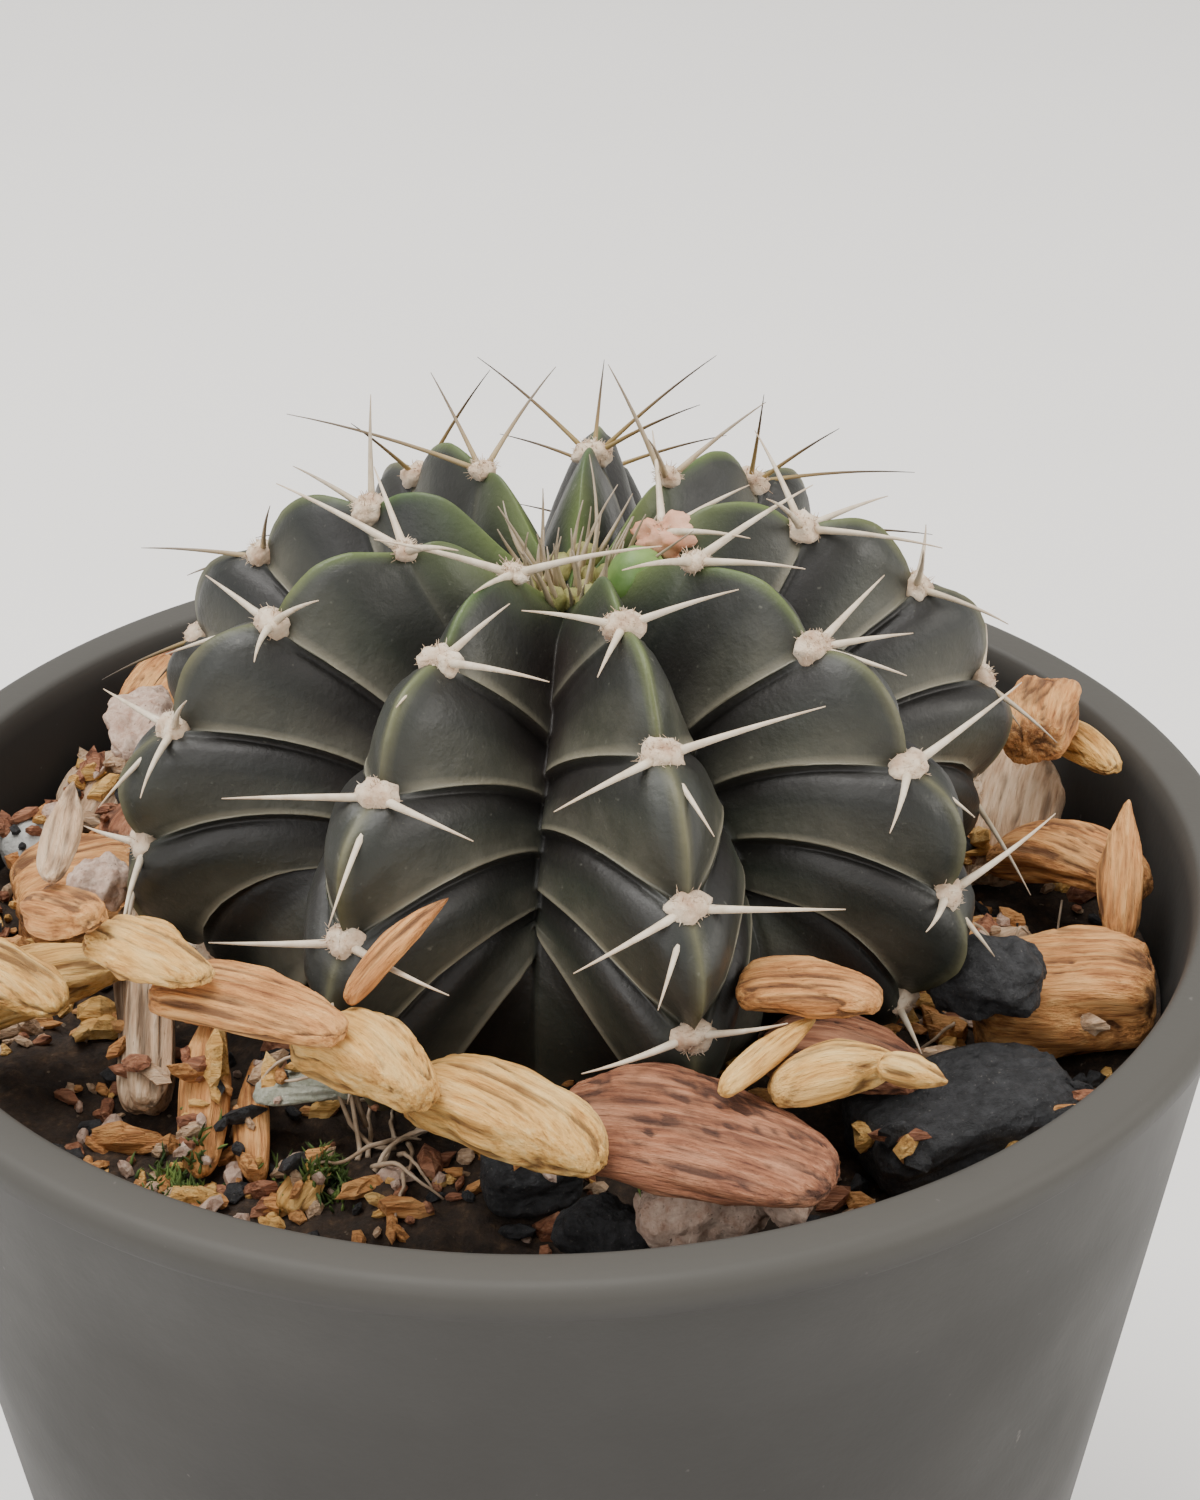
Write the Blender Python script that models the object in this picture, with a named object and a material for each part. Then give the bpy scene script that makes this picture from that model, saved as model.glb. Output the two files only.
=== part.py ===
"""A chin cactus in a round plastic pot, with loose bark, charcoal and pumice on its potting mix.

Units are metres, +Z is up and the front is -Y. The origin is the centre of the pot's base. Sizes in the
constants are in millimetres, and MM turns them into metres where a mesh is made.
"""
import math

import bmesh
import bpy
import numpy as np
from mathutils import Matrix, Vector
from mathutils.bvhtree import BVHTree

MM = 0.001
GAP = 0.3                      # left between pieces that touch

# The pot: a moulded cup with a flat rim, a drain hole and a foot ring
POT_HEIGHT = 86.0
RIM_OUTER = 50.0
RIM_INNER = 46.2
RIM_ROUND = 1.1                # rounding of the rim's outer corner
WALL_STEP = 0.7                # the wall starts this far inside the rim's edge
WALL_TAPER = math.tan(math.radians(8.0))
FLOOR_TOP = 4.0
FOOT_WIDTH = 4.0
FOOT_HEIGHT = 1.6
DRAIN_RADIUS = 4.5
POT_SIDES = 56

# The stem: nine ribs on a flattened globe, with heights counted from the rim's plane
STEM_X = 1.9
RIB_TURNS = (14.6, -27.5, -71.9, -112.0, -147.5, -186.0, -221.7, -259.1, -306.5)  # degrees from the front
RIB_PHASES = (0.0, 0.375, 0.75, 0.125, 0.75, 0.125, 0.625, 0.25, 0.625)  # where each rib's areoles begin
GLOBE_RADIUS = 30.2
GLOBE_HALF_HEIGHT = 19.7
GLOBE_CENTRE = 5.7
FIRST_ANGLE, ANGLE_STEP, ANGLE_GROWTH = 0.111, 0.314, 0.022  # polar angle along a rib, radians
APEX_PHASE = -0.3626           # where that angle is zero
CROWN_DIP, CROWN_RADIUS = 5.6, 10.0
RIB_DEPTH, RIB_DEPTH_REACH = 10.4, 11.0
CHIN_SIZE, CHIN_WIDTH = 2.3, 0.17
RIDGE_SIZE = 1.8               # depth of the cross ridges, one at each areole
RIDGE_RISE = 1.2               # how far a ridge climbs from its areole to the valley, in areole steps
RISE_FROM, RISE_TO = 0.2, 4.2  # phases over which the climb grows
LIP_SHARE = 1.0 / 8.0          # part of a step that a ridge's underside takes
ROWS_PER_STEP = 8
FLANK_STEPS = (0.0, 0.2, 0.58)   # columns from a crest to its valley, which is 1
BURIED_PHASE = 5.0             # the ribs fade below this
BOTTOM_PHASES = (5.5, 5.8, 6.25)
STEM_BOTTOM = -14.2

# Areoles and spines
AREOLE_WIDTH, AREOLE_HEIGHT, AREOLE_DEPTH = 1.5, 1.25, 1.0
KNOB_TURN = 0.2                # turns an areole's corners off the crest line, radians
SPINE_ROOT, SPINE_TIP = 0.32, 0.13
SPINE_SEAT = (0.55, 0.5)       # a spine's root from its areole's centre: outwards, and the way it points
SPINE_LIFT = 26.0              # degrees off the skin
SPINE_DROOP = 0.10             # bend towards the skin, as a share of the length
SPINE_CLEARANCE = 0.7
# Spines of the areoles in view, by rib and number: clock angle (0 right, 90 up), length and any own lift
FRONT_SPINES = {
    (0, 1): ((355, 7.5), (242, 8.0), (180, 7.0)), (0, 2): ((2, 10.5), (206, 9.5), (282, 7.0)),
    (0, 3): ((354, 9.5), (196, 9.0), (240, 6.5)), (0, 4): ((28, 8.5), (168, 8.5), (270, 5.0)),
    (1, 1): ((348, 10.5), (272, 5.5), (50, 5.5)), (1, 2): ((200, 9.5), (350, 9.5), (280, 9.5)),
    (1, 3): ((188, 8.5), (2, 10.0), (274, 6.0)), (1, 4): ((12, 8.5), (130, 7.5), (250, 5.0)),
    (8, 1): ((5, 7.5), (287, 6.0), (325, 6.5)), (8, 2): ((4, 10.5), (192, 9.0), (284, 5.0)),
    (8, 3): ((20, 9.5), (165, 8.0), (285, 6.0)), (8, 4): ((268, 6.0), (190, 7.0)),
    (7, 1): ((140, 11.0), (232, 10.0), (20, 9.0), (300, 8.0)), (7, 2): ((193, 9.5), (140, 9.0), (350, 8.0)),
    (7, 3): ((355, 8.5), (200, 8.0), (280, 6.0)), (2, 1): ((197, 7.0), (264, 7.0), (352, 10.0), (30, 8.5)),
    (2, 0): ((215, 11.0), (175, 8.0), (13, 10.0)), (2, 2): ((284, 7.0), (350, 10.0), (35, 8.5), (195, 8.0)),
    (3, 1): ((245, 8.0, 30), (170, 8.5, 62)), (3, 2): ((290, 9.0, 45), (262, 7.5, 20), (60, 7.0)),
    (4, 0): ((330, 14.5, 30), (270, 9.0, 55), (200, 11.0, 35)), (4, 1): ((25, 7.5, 45), (125, 10.0, 40)),
    (5, 1): ((340, 12.0, 40), (265, 8.0, 68), (170, 12.0, 45), (155, 9.5, 30)),
    (6, 0): ((45, 9.5, 60), (115, 8.5, 35), (245, 9.0, 45)),
    (6, 1): ((245, 14.0, 25), (185, 8.0, 52), (110, 8.0, 58)),
}
OTHER_SPINES = ((355, 9.5), (196, 9.0), (280, 6.5))
SPINE_SEED = 8

# Small growths on the crown: x and y from the stem's axis, height and radius
FLOWER_BUD = (4.6, -1.6, 21.0, 2.3)
DRIED_FLOWER = (6.9, 1.4, 22.8, 1.9)

# The mix: its top lies under the rim and waves a little
MIX_TOP = -10.0
MIX_WAVES = ((0.23, 0.11, 0.4), (-0.12, 0.27, 2.1), (0.31, -0.19, 4.0))
MIX_WAVE_HEIGHT = 0.3
HOLE_CLEARANCE = 0.45
HOLE_LEVELS = (-11.6, -13.2)
MIX_RINGS = 5

# Finishes: colour and roughness
FINISHES = {
    "pot": ((0.045, 0.047, 0.052), 0.45),
    "cactus": ((0.07, 0.10, 0.06), 0.55),
    "mix": ((0.05, 0.03, 0.02), 0.95),
    "bark": ((0.52, 0.24, 0.10), 0.8),
    "yellow bark": ((0.72, 0.42, 0.13), 0.8),
    "red bark": ((0.45, 0.17, 0.08), 0.8),
    "tan bark": ((0.62, 0.43, 0.27), 0.8),
    "charcoal": ((0.03, 0.03, 0.035), 0.7),
    "pumice": ((0.70, 0.48, 0.38), 0.9),
    "pebble": ((0.55, 0.55, 0.52), 0.6),
    "lichen": ((0.42, 0.43, 0.33), 0.9),
}

# The shapes of loose pieces: roundness along and around (2 round, 6 boxed), point at the far end, roughness
SHAPES = {
    "block": (4.8, 4.4, 0.08, 0.09),
    "flake": (3.6, 3.3, 0.40, 0.10),
    "sliver": (2.6, 2.6, 0.75, 0.07),
    "lump": (2.4, 2.4, 0.05, 0.13),
    "stone": (2.1, 2.1, 0.0, 0.04),
}
FINE_SIDES, FINE_RINGS = 16, 12
WALL_LIMIT = 44.3              # no loose piece reaches further from the pot's axis
# Loose pieces in the order they fall: name, shape, finish, x, y, length, width, thickness,
# heading (degrees from +X), pitch (far end up), bend
LOOSE_PIECES = (
    ("bark_block_right", "block", "bark", 36.8, -11.5, 12.5, 9.5, 6.2, -8, 4, 0.02),
    ("bark_block_left", "block", "bark", -34.6, 3.0, 10.0, 10.5, 6.0, 15, 3, 0.04),
    ("bark_block_small_left", "block", "red bark", -39.0, -5.6, 6.0, 5.0, 3.6, -30, 8, 0.0),
    ("charcoal_large", "block", "charcoal", 29.0, -25.5, 15.0, 9.0, 5.0, 22, 5, 0.02),
    ("charcoal_upper", "lump", "charcoal", 27.8, -15.0, 8.0, 6.0, 4.8, 20, 6, 0.0),
    ("charcoal_front", "block", "charcoal", -0.6, -29.8, 6.5, 4.2, 4.4, 10, 0, 0.0),
    ("charcoal_mossy", "lump", "charcoal", 4.2, -35.2, 6.5, 5.0, 4.2, -40, 0, 0.0),
    ("pumice_front", "lump", "pumice", 10.0, -36.4, 8.5, 6.0, 5.2, 8, 0, 0.0),
    ("pumice_small", "lump", "pumice", 15.4, -38.0, 4.0, 3.2, 3.0, 60, 0, 0.0),
    ("red_flake_large", "flake", "red bark", 8.5, -26.5, 18.0, 9.5, 3.6, -21, 3, 0.05),
    ("red_flake_small", "flake", "red bark", 18.4, -20.8, 11.5, 6.4, 3.6, -28, 8, 0.08),
    ("yellow_chip_front", "flake", "yellow bark", -2.0, -36.8, 14.5, 7.0, 4.0, -38, 3, 0.10),
    ("yellow_chip_knuckle", "flake", "yellow bark", -10.2, -35.6, 10.5, 5.6, 3.6, -50, 6, 0.12),
    ("yellow_chip_right", "sliver", "yellow bark", 18.4, -33.8, 9.0, 3.8, 2.8, 8, 4, 0.10),
    ("yellow_bit_right", "sliver", "yellow bark", 22.6, -35.6, 4.5, 2.2, 2.0, -25, 0, 0.0),
    ("orange_flake_front_1", "flake", "bark", -17.2, -34.0, 13.5, 5.6, 2.2, -28, 4, 0.03),
    ("orange_flake_front_2", "flake", "yellow bark", -23.4, -31.4, 10.0, 5.0, 2.0, -40, 5, 0.02),
    ("orange_flake_front_3", "flake", "bark", -28.6, -29.4, 5.5, 3.6, 2.4, -30, 8, 0.0),
    ("pale_strip_long", "flake", "tan bark", -28.0, -12.8, 16.5, 4.2, 1.9, 97, 26, 0.02),
    ("pale_strip_beside", "flake", "tan bark", -24.6, -14.2, 15.0, 3.0, 1.7, 93, 24, 0.02),
    ("orange_sliver_1", "sliver", "bark", -22.4, -20.6, 14.0, 3.4, 1.9, 88, 24, 0.03),
    ("orange_sliver_2", "sliver", "bark", -19.4, -22.8, 10.0, 2.4, 1.5, 96, 16, 0.0),
    ("stick_left", "sliver", "tan bark", -29.6, -23.4, 10.5, 2.2, 1.7, 92, 5, 0.0),
    ("yellow_chip_left_1", "flake", "yellow bark", -34.6, -14.2, 12.0, 5.2, 3.0, 24, 5, 0.12),
    ("yellow_chip_left_2", "flake", "yellow bark", -35.4, -18.6, 10.5, 4.8, 2.4, -42, 3, 0.08),
    ("pumice_left", "lump", "pumice", -31.4, -5.6, 4.5, 4.0, 3.2, 0, 0, 0.0),
    ("pebble_left", "stone", "pebble", -41.0, 11.6, 6.0, 5.4, 4.6, 80, 0, 0.0),
    ("tan_flake_left", "flake", "tan bark", -36.6, 21.0, 8.5, 5.2, 2.0, 70, 20, 0.04),
    ("red_piece_upright", "flake", "red bark", -31.6, 27.6, 11.0, 4.4, 2.2, 75, 52, 0.03),
    ("red_bark_left", "block", "red bark", -31.0, 14.4, 9.0, 5.4, 4.2, 70, 0, 0.0),
    ("brown_stick_left", "sliver", "bark", -20.4, -17.2, 8.0, 2.2, 1.6, 6, 0, 0.03),
    ("grey_flake_left", "flake", "lichen", -15.6, -22.0, 7.0, 3.8, 1.3, -6, 5, 0.04),
    ("leaf_bit_left", "flake", "yellow bark", -15.4, -28.6, 5.0, 2.4, 1.2, 62, 6, 0.05),
    ("sliver_upright_front", "sliver", "bark", -8.6, -30.4, 9.0, 1.9, 1.2, 38, 30, 0.04),
    ("stick_front_right", "sliver", "yellow bark", 14.0, -33.0, 9.0, 2.0, 1.5, 48, 6, 0.02),
    ("orange_flake_right", "flake", "bark", 16.8, -28.6, 9.0, 5.6, 2.2, -8, 4, 0.06),
    ("tan_leaf_right", "flake", "tan bark", 35.0, 13.8, 15.0, 8.4, 2.0, 72, 20, 0.10),
    ("orange_strip_right", "flake", "yellow bark", 41.0, 14.4, 13.0, 3.8, 2.2, -72, 12, 0.06),
    ("orange_chip_right", "flake", "bark", 38.6, 2.6, 13.0, 6.2, 3.4, -44, 8, 0.10),
    ("orange_spike_right", "sliver", "bark", 41.4, -2.0, 11.0, 3.2, 1.6, 80, 42, 0.03),
    ("bark_bit_right", "block", "tan bark", 32.4, -3.0, 5.0, 4.2, 3.0, 30, 0, 0.0),
)
# Pieces behind the cactus, placed by rule from the front's kinds
BACK_PIECES = 12
BACK_FROM, BACK_TO = 62.0, 292.0   # degrees from the front, turning by +X; the arc the photo hides
BACK_KINDS = (("block", "bark"), ("flake", "yellow bark"), ("flake", "red bark"), ("block", "charcoal"),
              ("flake", "bark"), ("lump", "pumice"))
BACK_SEED = 21


def clear_scene():
    """Remove whatever the scene holds."""
    for item in list(bpy.data.objects):
        bpy.data.objects.remove(item, do_unlink=True)


def finish(kind):
    """A plain Principled material in one of the finishes, its own for each object."""
    colour, roughness = FINISHES[kind]
    material = bpy.data.materials.new(kind)
    material.use_nodes = True
    shader = material.node_tree.nodes["Principled BSDF"]
    shader.inputs["Base Color"].default_value = (*colour, 1.0)
    shader.inputs["Roughness"].default_value = roughness
    return material


def make_object(name, points, faces, kind):
    """An object from points in millimetres above the rim's plane and their faces."""
    mesh = bpy.data.meshes.new(name)
    world = (np.asarray(points, float) + (0.0, 0.0, POT_HEIGHT)) * MM
    mesh.from_pydata(world.tolist(), [], faces)
    mesh.update()
    thing = bpy.data.objects.new(name, mesh)
    thing.data.materials.append(finish(kind))
    bpy.context.scene.collection.objects.link(thing)
    return thing


def face_outwards(thing, split=False):
    """Turn every face of a closed mesh to the outside, and split its quads where that is asked for."""
    work = bmesh.new()
    work.from_mesh(thing.data)
    bmesh.ops.recalc_face_normals(work, faces=work.faces)
    if split:
        bmesh.ops.triangulate(work, faces=work.faces)
    work.to_mesh(thing.data)
    work.free()


def smooth_step(low, high, value):
    """0 below low, 1 above high, and an S curve between them."""
    x = np.clip((value - low) / (high - low), 0.0, 1.0)
    return x * x * (3.0 - 2.0 * x)


def signed_power(value, power):
    """The power of a number's size, with its sign kept."""
    return np.sign(value) * np.abs(value) ** power


def ring_faces(rings, sides, closed_rows=False):
    """Quads between rings of points, each ring a closed loop of so many sides."""
    faces = []
    for row in range(rings if closed_rows else rings - 1):
        near, far = row * sides, ((row + 1) % rings) * sides
        for side in range(sides):
            after = (side + 1) % sides
            faces.append((near + side, near + after, far + after, far + side))
    return faces


# The pot

def wall_inner(height):
    """The inner wall's radius at a height above the rim's plane."""
    return RIM_INNER + height * WALL_TAPER


def pot_profile():
    """The pot's closed outline as radius and height above the rim's plane, from the drain hole outwards."""
    base = -POT_HEIGHT
    outer_base = RIM_OUTER - WALL_STEP + base * WALL_TAPER
    floor_radius = wall_inner(base + FLOOR_TOP)
    return (
        (DRAIN_RADIUS, base + FOOT_HEIGHT),
        (outer_base - FOOT_WIDTH - 0.8, base + FOOT_HEIGHT),
        (outer_base - FOOT_WIDTH, base),
        (outer_base, base),
        (RIM_OUTER - WALL_STEP - 3.2 * WALL_TAPER, -3.2),
        (RIM_OUTER, -1.9),
        (RIM_OUTER, -RIM_ROUND),
        (RIM_OUTER - 0.3 * RIM_ROUND, -0.3 * RIM_ROUND),
        (RIM_OUTER - RIM_ROUND, 0.0),
        (RIM_INNER + 0.5, 0.0),
        (RIM_INNER, -0.5),
        (wall_inner(MIX_TOP), MIX_TOP),
        (floor_radius, base + FLOOR_TOP),
        (DRAIN_RADIUS, base + FLOOR_TOP),
    )


def make_pot():
    """The outline turned round the pot's axis."""
    turns = np.linspace(0.0, 2.0 * np.pi, POT_SIDES, endpoint=False)
    outline = pot_profile()
    rings = [np.column_stack((radius * np.cos(turns), radius * np.sin(turns), np.full(POT_SIDES, height)))
             for radius, height in outline]
    pot = make_object("pot", np.concatenate(rings), ring_faces(len(outline), POT_SIDES, True), "pot")
    face_outwards(pot)
    pot.data.shade_smooth()
    pot.data.set_sharp_from_angle(angle=math.radians(35))
    return pot


# The stem's surface

def globe_line(phase):
    """Radius and height of a rib's crest on the plain globe, at a phase that grows by 1 at each areole."""
    angle = FIRST_ANGLE + ANGLE_STEP * phase + ANGLE_GROWTH * phase * phase
    radius = GLOBE_RADIUS * np.maximum(np.sin(angle), 1e-6) ** 0.93
    height = GLOBE_CENTRE + GLOBE_HALF_HEIGHT * signed_power(np.cos(angle), 1.05)
    return radius, height


def crest_line(phase):
    """The same line with the crown's dip, whose depth falls smoothly to nothing at its edge."""
    radius, height = globe_line(phase)
    dip = CROWN_DIP * np.maximum(1.0 - (radius / CROWN_RADIUS) ** 2, 0.0) ** 2 * (phase < 3.0)
    return radius, height - dip


def crest_normal(phase):
    """The outward direction across the globe's line, as radius and height parts."""
    low, high = globe_line(phase - 0.05), globe_line(phase + 0.05)
    along_radius, along_height = high[0] - low[0], high[1] - low[1]
    length = np.hypot(along_radius, along_height)
    return -along_height / length, along_radius / length


def ridge_relief(part):
    """Height of the cross ridge over one areole step: it falls back under a sharp lip, then climbs."""
    climb = np.maximum(part - LIP_SHARE, 0.0) / (1.0 - LIP_SHARE)
    return RIDGE_SIZE * (np.where(part < LIP_SHARE, 1.0 - part / LIP_SHARE, climb ** 1.2) - 0.45)


def stem_point(phase, rib, across, gap):
    """The skin at a phase of a rib and a place across it, from -1 to 1 at its valleys.

    The rib's crest line is pushed inwards along its normal by the rib's depth, and outwards by the chin
    between two areoles and by the cross ridges, which climb like eyebrows from the areole into the valley.
    """
    part = (phase - RIB_PHASES[rib]) % 1.0
    side = np.abs(across)
    buried = 1.0 - smooth_step(BURIED_PHASE - 0.3, BURIED_PHASE + 0.5, phase)
    rise = RIDGE_RISE * smooth_step(RISE_FROM, RISE_TO, phase) * (1.0 - 0.5 * smooth_step(5.4, 6.3, phase))
    at = phase - rise * (1.0 - (1.0 - side) ** 1.35)
    radius, height = crest_line(at)
    out_radius, out_height = crest_normal(np.maximum(at, APEX_PHASE + 0.08))
    chin = np.sin(np.pi * part ** 0.85) * buried * smooth_step(0.0, 1.6, phase)
    flat = CHIN_WIDTH * chin
    flank = (np.maximum(side - flat, 0.0) / (1.0 - flat)) ** 1.12
    depth = RIB_DEPTH * (1.0 - np.exp(-(radius / RIB_DEPTH_REACH) ** 1.5))
    depth = depth * (1.0 - smooth_step(3.9, 6.1, at + 0.3 * side))
    ridge = ridge_relief(part) * (1.0 - smooth_step(4.9, 5.7, at)) * smooth_step(0.5, 1.6, phase)
    ridge = ridge * smooth_step(0.0, 0.3, side) * (1.0 - 0.65 * smooth_step(0.8, 1.0, side))
    offset = CHIN_SIZE * chin * (1.0 - side) ** 1.5 + ridge - depth * flank
    radius = np.maximum(radius + out_radius * offset, 0.0)
    height = height + out_height * offset
    turn = np.radians(RIB_TURNS[rib] + across * gap)
    return np.array([STEM_X + radius * np.sin(turn), -radius * np.cos(turn), height])


def stem_columns():
    """Columns round the stem: rib, place across it and the half gap to its valley, turning by +X."""
    columns = []
    for rib, turn in enumerate(RIB_TURNS):
        left = ((turn - RIB_TURNS[(rib + 1) % len(RIB_TURNS)]) % 360.0) / 2.0
        right = ((RIB_TURNS[rib - 1] - turn) % 360.0) / 2.0
        for step in reversed(FLANK_STEPS[1:]):
            columns.append((rib, -step, left))
        for step in FLANK_STEPS:
            columns.append((rib, step, right))
        columns.append((rib, 1.0, right))
    order = sorted(range(len(RIB_TURNS)), key=lambda rib: RIB_TURNS[rib])
    return [column for rib in order for column in columns if column[0] == rib]


def stem_phases():
    """The rows from the crown to the buried bottom."""
    rows = [-0.1]
    rows += [step / ROWS_PER_STEP for step in range(2, int(BURIED_PHASE * ROWS_PER_STEP) + 2)]
    return rows + list(BOTTOM_PHASES)


def make_stem():
    """The closed skin of the stem, with one point at the crown and one at the bottom."""
    columns, phases = stem_columns(), stem_phases()
    points = [stem_point(phase, *column) for phase in phases for column in columns]
    sides = len(columns)
    faces = ring_faces(len(phases), sides)
    crown_height = crest_line(np.float64(APEX_PHASE))[1]
    points += [np.array([STEM_X, 0.0, crown_height]), np.array([STEM_X, 0.0, STEM_BOTTOM])]
    last = (len(phases) - 1) * sides
    for side in range(sides):
        after = (side + 1) % sides
        faces.append((len(points) - 2, after, side))
        faces.append((len(points) - 1, last + side, last + after))
    stem = make_object("cactus", points, faces, "cactus")
    face_outwards(stem, split=True)
    return stem


# The mix

def mix_height(x, y):
    """The mix's top: a level with three low waves across it."""
    waves = sum(np.sin(a * x + b * y + c) for a, b, c in MIX_WAVES)
    return MIX_TOP + MIX_WAVE_HEIGHT * waves


def tree_of(thing):
    """A search tree of an object's mesh."""
    work = bmesh.new()
    work.from_mesh(thing.data)
    tree = BVHTree.FromBMesh(work)
    work.free()
    return tree


def stem_radius(tree, turn, height):
    """How far the stem reaches from its axis in one direction at one height."""
    outwards = Vector((math.sin(turn), -math.cos(turn), 0.0))
    start = Vector((STEM_X * MM, 0.0, (height + POT_HEIGHT) * MM)) + outwards * 0.06
    hit = tree.ray_cast(start, -outwards, 0.06)[0]
    return 0.0 if hit is None else (hit - Vector((STEM_X * MM, 0.0, hit.z))).length / MM


def make_mix(stem_tree):
    """One filling: from the pot's floor up to the waved top, with a plain hole for the stem."""
    turns = [math.radians(RIB_TURNS[rib] + across * gap) for rib, across, gap in stem_columns()]
    sides = len(turns)
    rings = []
    for level in (STEM_BOTTOM - 0.6,) + tuple(reversed(HOLE_LEVELS)):
        reach = [max(stem_radius(stem_tree, turn, level + lift) for lift in (-0.8, 0.0, 0.8)) for turn in turns]
        rings.append([(r + HOLE_CLEARANCE, level) for r in reach])
    edge = [max(stem_radius(stem_tree, turn, MIX_TOP + lift) for lift in (-1.0, 0.0, 1.0)) for turn in turns]
    walls = [wall_distance(turn, wall_inner(MIX_TOP) - GAP) for turn in turns]
    for step in range(MIX_RINGS):
        share = (step / (MIX_RINGS - 1)) ** 0.9
        rings.append([(e + HOLE_CLEARANCE + (w - e - HOLE_CLEARANCE) * share, None)
                      for e, w in zip(edge, walls)])
    base = -POT_HEIGHT + FLOOR_TOP + GAP
    rings.append([(wall_distance(turn, wall_inner(base) - GAP), base) for turn in turns])
    points = []
    for ring in rings:
        for turn, (radius, height) in zip(turns, ring):
            x, y = STEM_X + radius * math.sin(turn), -radius * math.cos(turn)
            points.append((x, y, mix_height(x, y) if height is None else height))
    faces = ring_faces(len(rings), sides)
    points += [(STEM_X, 0.0, STEM_BOTTOM - 0.6), (0.0, 0.0, base)]
    last = (len(rings) - 1) * sides
    for side in range(sides):
        after = (side + 1) % sides
        faces.append((len(points) - 2, after, side))
        faces.append((len(points) - 1, last + side, last + after))
    mix = make_object("potting_mix", points, faces, "mix")
    face_outwards(mix)
    return mix


def wall_distance(turn, radius):
    """Distance from the stem's axis to a circle round the pot's axis, in one direction."""
    along = STEM_X * math.sin(turn)
    return -along + math.sqrt(radius * radius - STEM_X * STEM_X + along * along)


# Loose pieces

def lump_waves(directions, seed):
    """Seeded roughness over a unit ball: a sum of slow sine waves in random directions."""
    draw = np.random.RandomState(seed)
    total = np.zeros(len(directions))
    for _ in range(7):
        total += np.sin(directions @ draw.normal(0.0, 2.6, 3) + draw.uniform(0.0, 6.28))
    return total / 7.0


def piece_points(shape, seed, length, width, thickness, bend, sides, rings):
    """A loose piece about its own centre, its long axis along X.

    It is a boxed ellipsoid, narrowed towards its far end, roughened by seeded waves and bent upwards.
    """
    along_power, around_power, point, rough = SHAPES[shape]
    polar = np.pi * (np.arange(1, rings) / rings)
    around = 2.0 * np.pi * (np.arange(sides) + 0.5) / sides
    polar, around = [grid.ravel() for grid in np.meshgrid(polar, around, indexing="ij")]
    polar = np.concatenate((polar, [0.0, np.pi]))
    around = np.concatenate((around, [0.0, 0.0]))
    axis = -signed_power(np.cos(polar), 2.0 / along_power)
    spread = np.sin(polar) ** (2.0 / along_power)
    narrow = 1.0 - point * np.maximum(axis, 0.0) ** 1.3
    side = spread * narrow * signed_power(np.cos(around), 2.0 / around_power)
    top = spread * (1.0 - 0.6 * point * np.maximum(axis, 0.0)) * signed_power(np.sin(around), 2.0 / around_power)
    waves = 1.0 + 2.2 * rough * lump_waves(np.column_stack((axis, side, top)), seed)
    x = 0.5 * length * axis * (0.75 + 0.25 * waves)
    y = 0.5 * width * side * waves + 0.06 * width * np.sin(2.4 * axis + seed)
    z = 0.5 * thickness * top * waves + bend * length * (1.0 - axis ** 2)
    return np.column_stack((x, y, z))


def piece_faces(sides, rings):
    """Faces of such a piece: rings of quads and a fan at each end."""
    faces = ring_faces(rings - 1, sides)
    near, far = (rings - 1) * sides, (rings - 1) * sides + 1
    last = (rings - 2) * sides
    for side in range(sides):
        after = (side + 1) % sides
        faces.append((near, after, side))
        faces.append((far, last + side, last + after))
    return faces


def turned(points, heading, pitch, roll):
    """Points rolled about X, pitched so that +X rises, then headed about Z, all in degrees."""
    turn = (Matrix.Rotation(math.radians(heading), 3, "Z") @ Matrix.Rotation(math.radians(-pitch), 3, "Y")
            @ Matrix.Rotation(math.radians(roll), 3, "X"))
    return points @ np.array(turn).T


def tree_from(points, faces):
    """A search tree of points and faces in millimetres."""
    return BVHTree.FromPolygons([tuple(point) for point in points], faces)


def drop_height(points, faces, ground_points, ground_tree):
    """How far a piece sinks until it lies a gap above what is under it."""
    lift = 200.0
    raised = points + (0.0, 0.0, lift)
    tree = tree_from(raised, faces)
    room = []
    for x, y, z in raised:
        hit = ground_tree.ray_cast(Vector((x, y, z)), Vector((0.0, 0.0, -1.0)))[0]
        if hit is not None:
            room.append(z - hit.z)
    low, high = raised.min(axis=0), raised.max(axis=0)
    inside = np.all((ground_points[:, :2] > low[:2]) & (ground_points[:, :2] < high[:2]), axis=1)
    for x, y, z in ground_points[inside]:
        hit = tree.ray_cast(Vector((x, y, z)), Vector((0.0, 0.0, 1.0)))[0]
        if hit is not None:
            room.append(hit.z - z)
    return min(room) - lift - GAP - 0.04


def push_from_stem(points, stem_tree):
    """The step outwards, in X and Y, that takes a piece clear of the stem, or none."""
    worst, away = 0.0, None
    for x, y, z in points:
        distance = math.hypot(x - STEM_X, y)
        reach = stem_radius(stem_tree, math.atan2(x - STEM_X, -y), z) + GAP + 0.2
        if reach - distance > worst:
            worst, away = reach - distance, ((x - STEM_X) / distance, y / distance)
    return None if away is None else np.array([away[0] * worst, away[1] * worst, 0.0])


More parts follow.
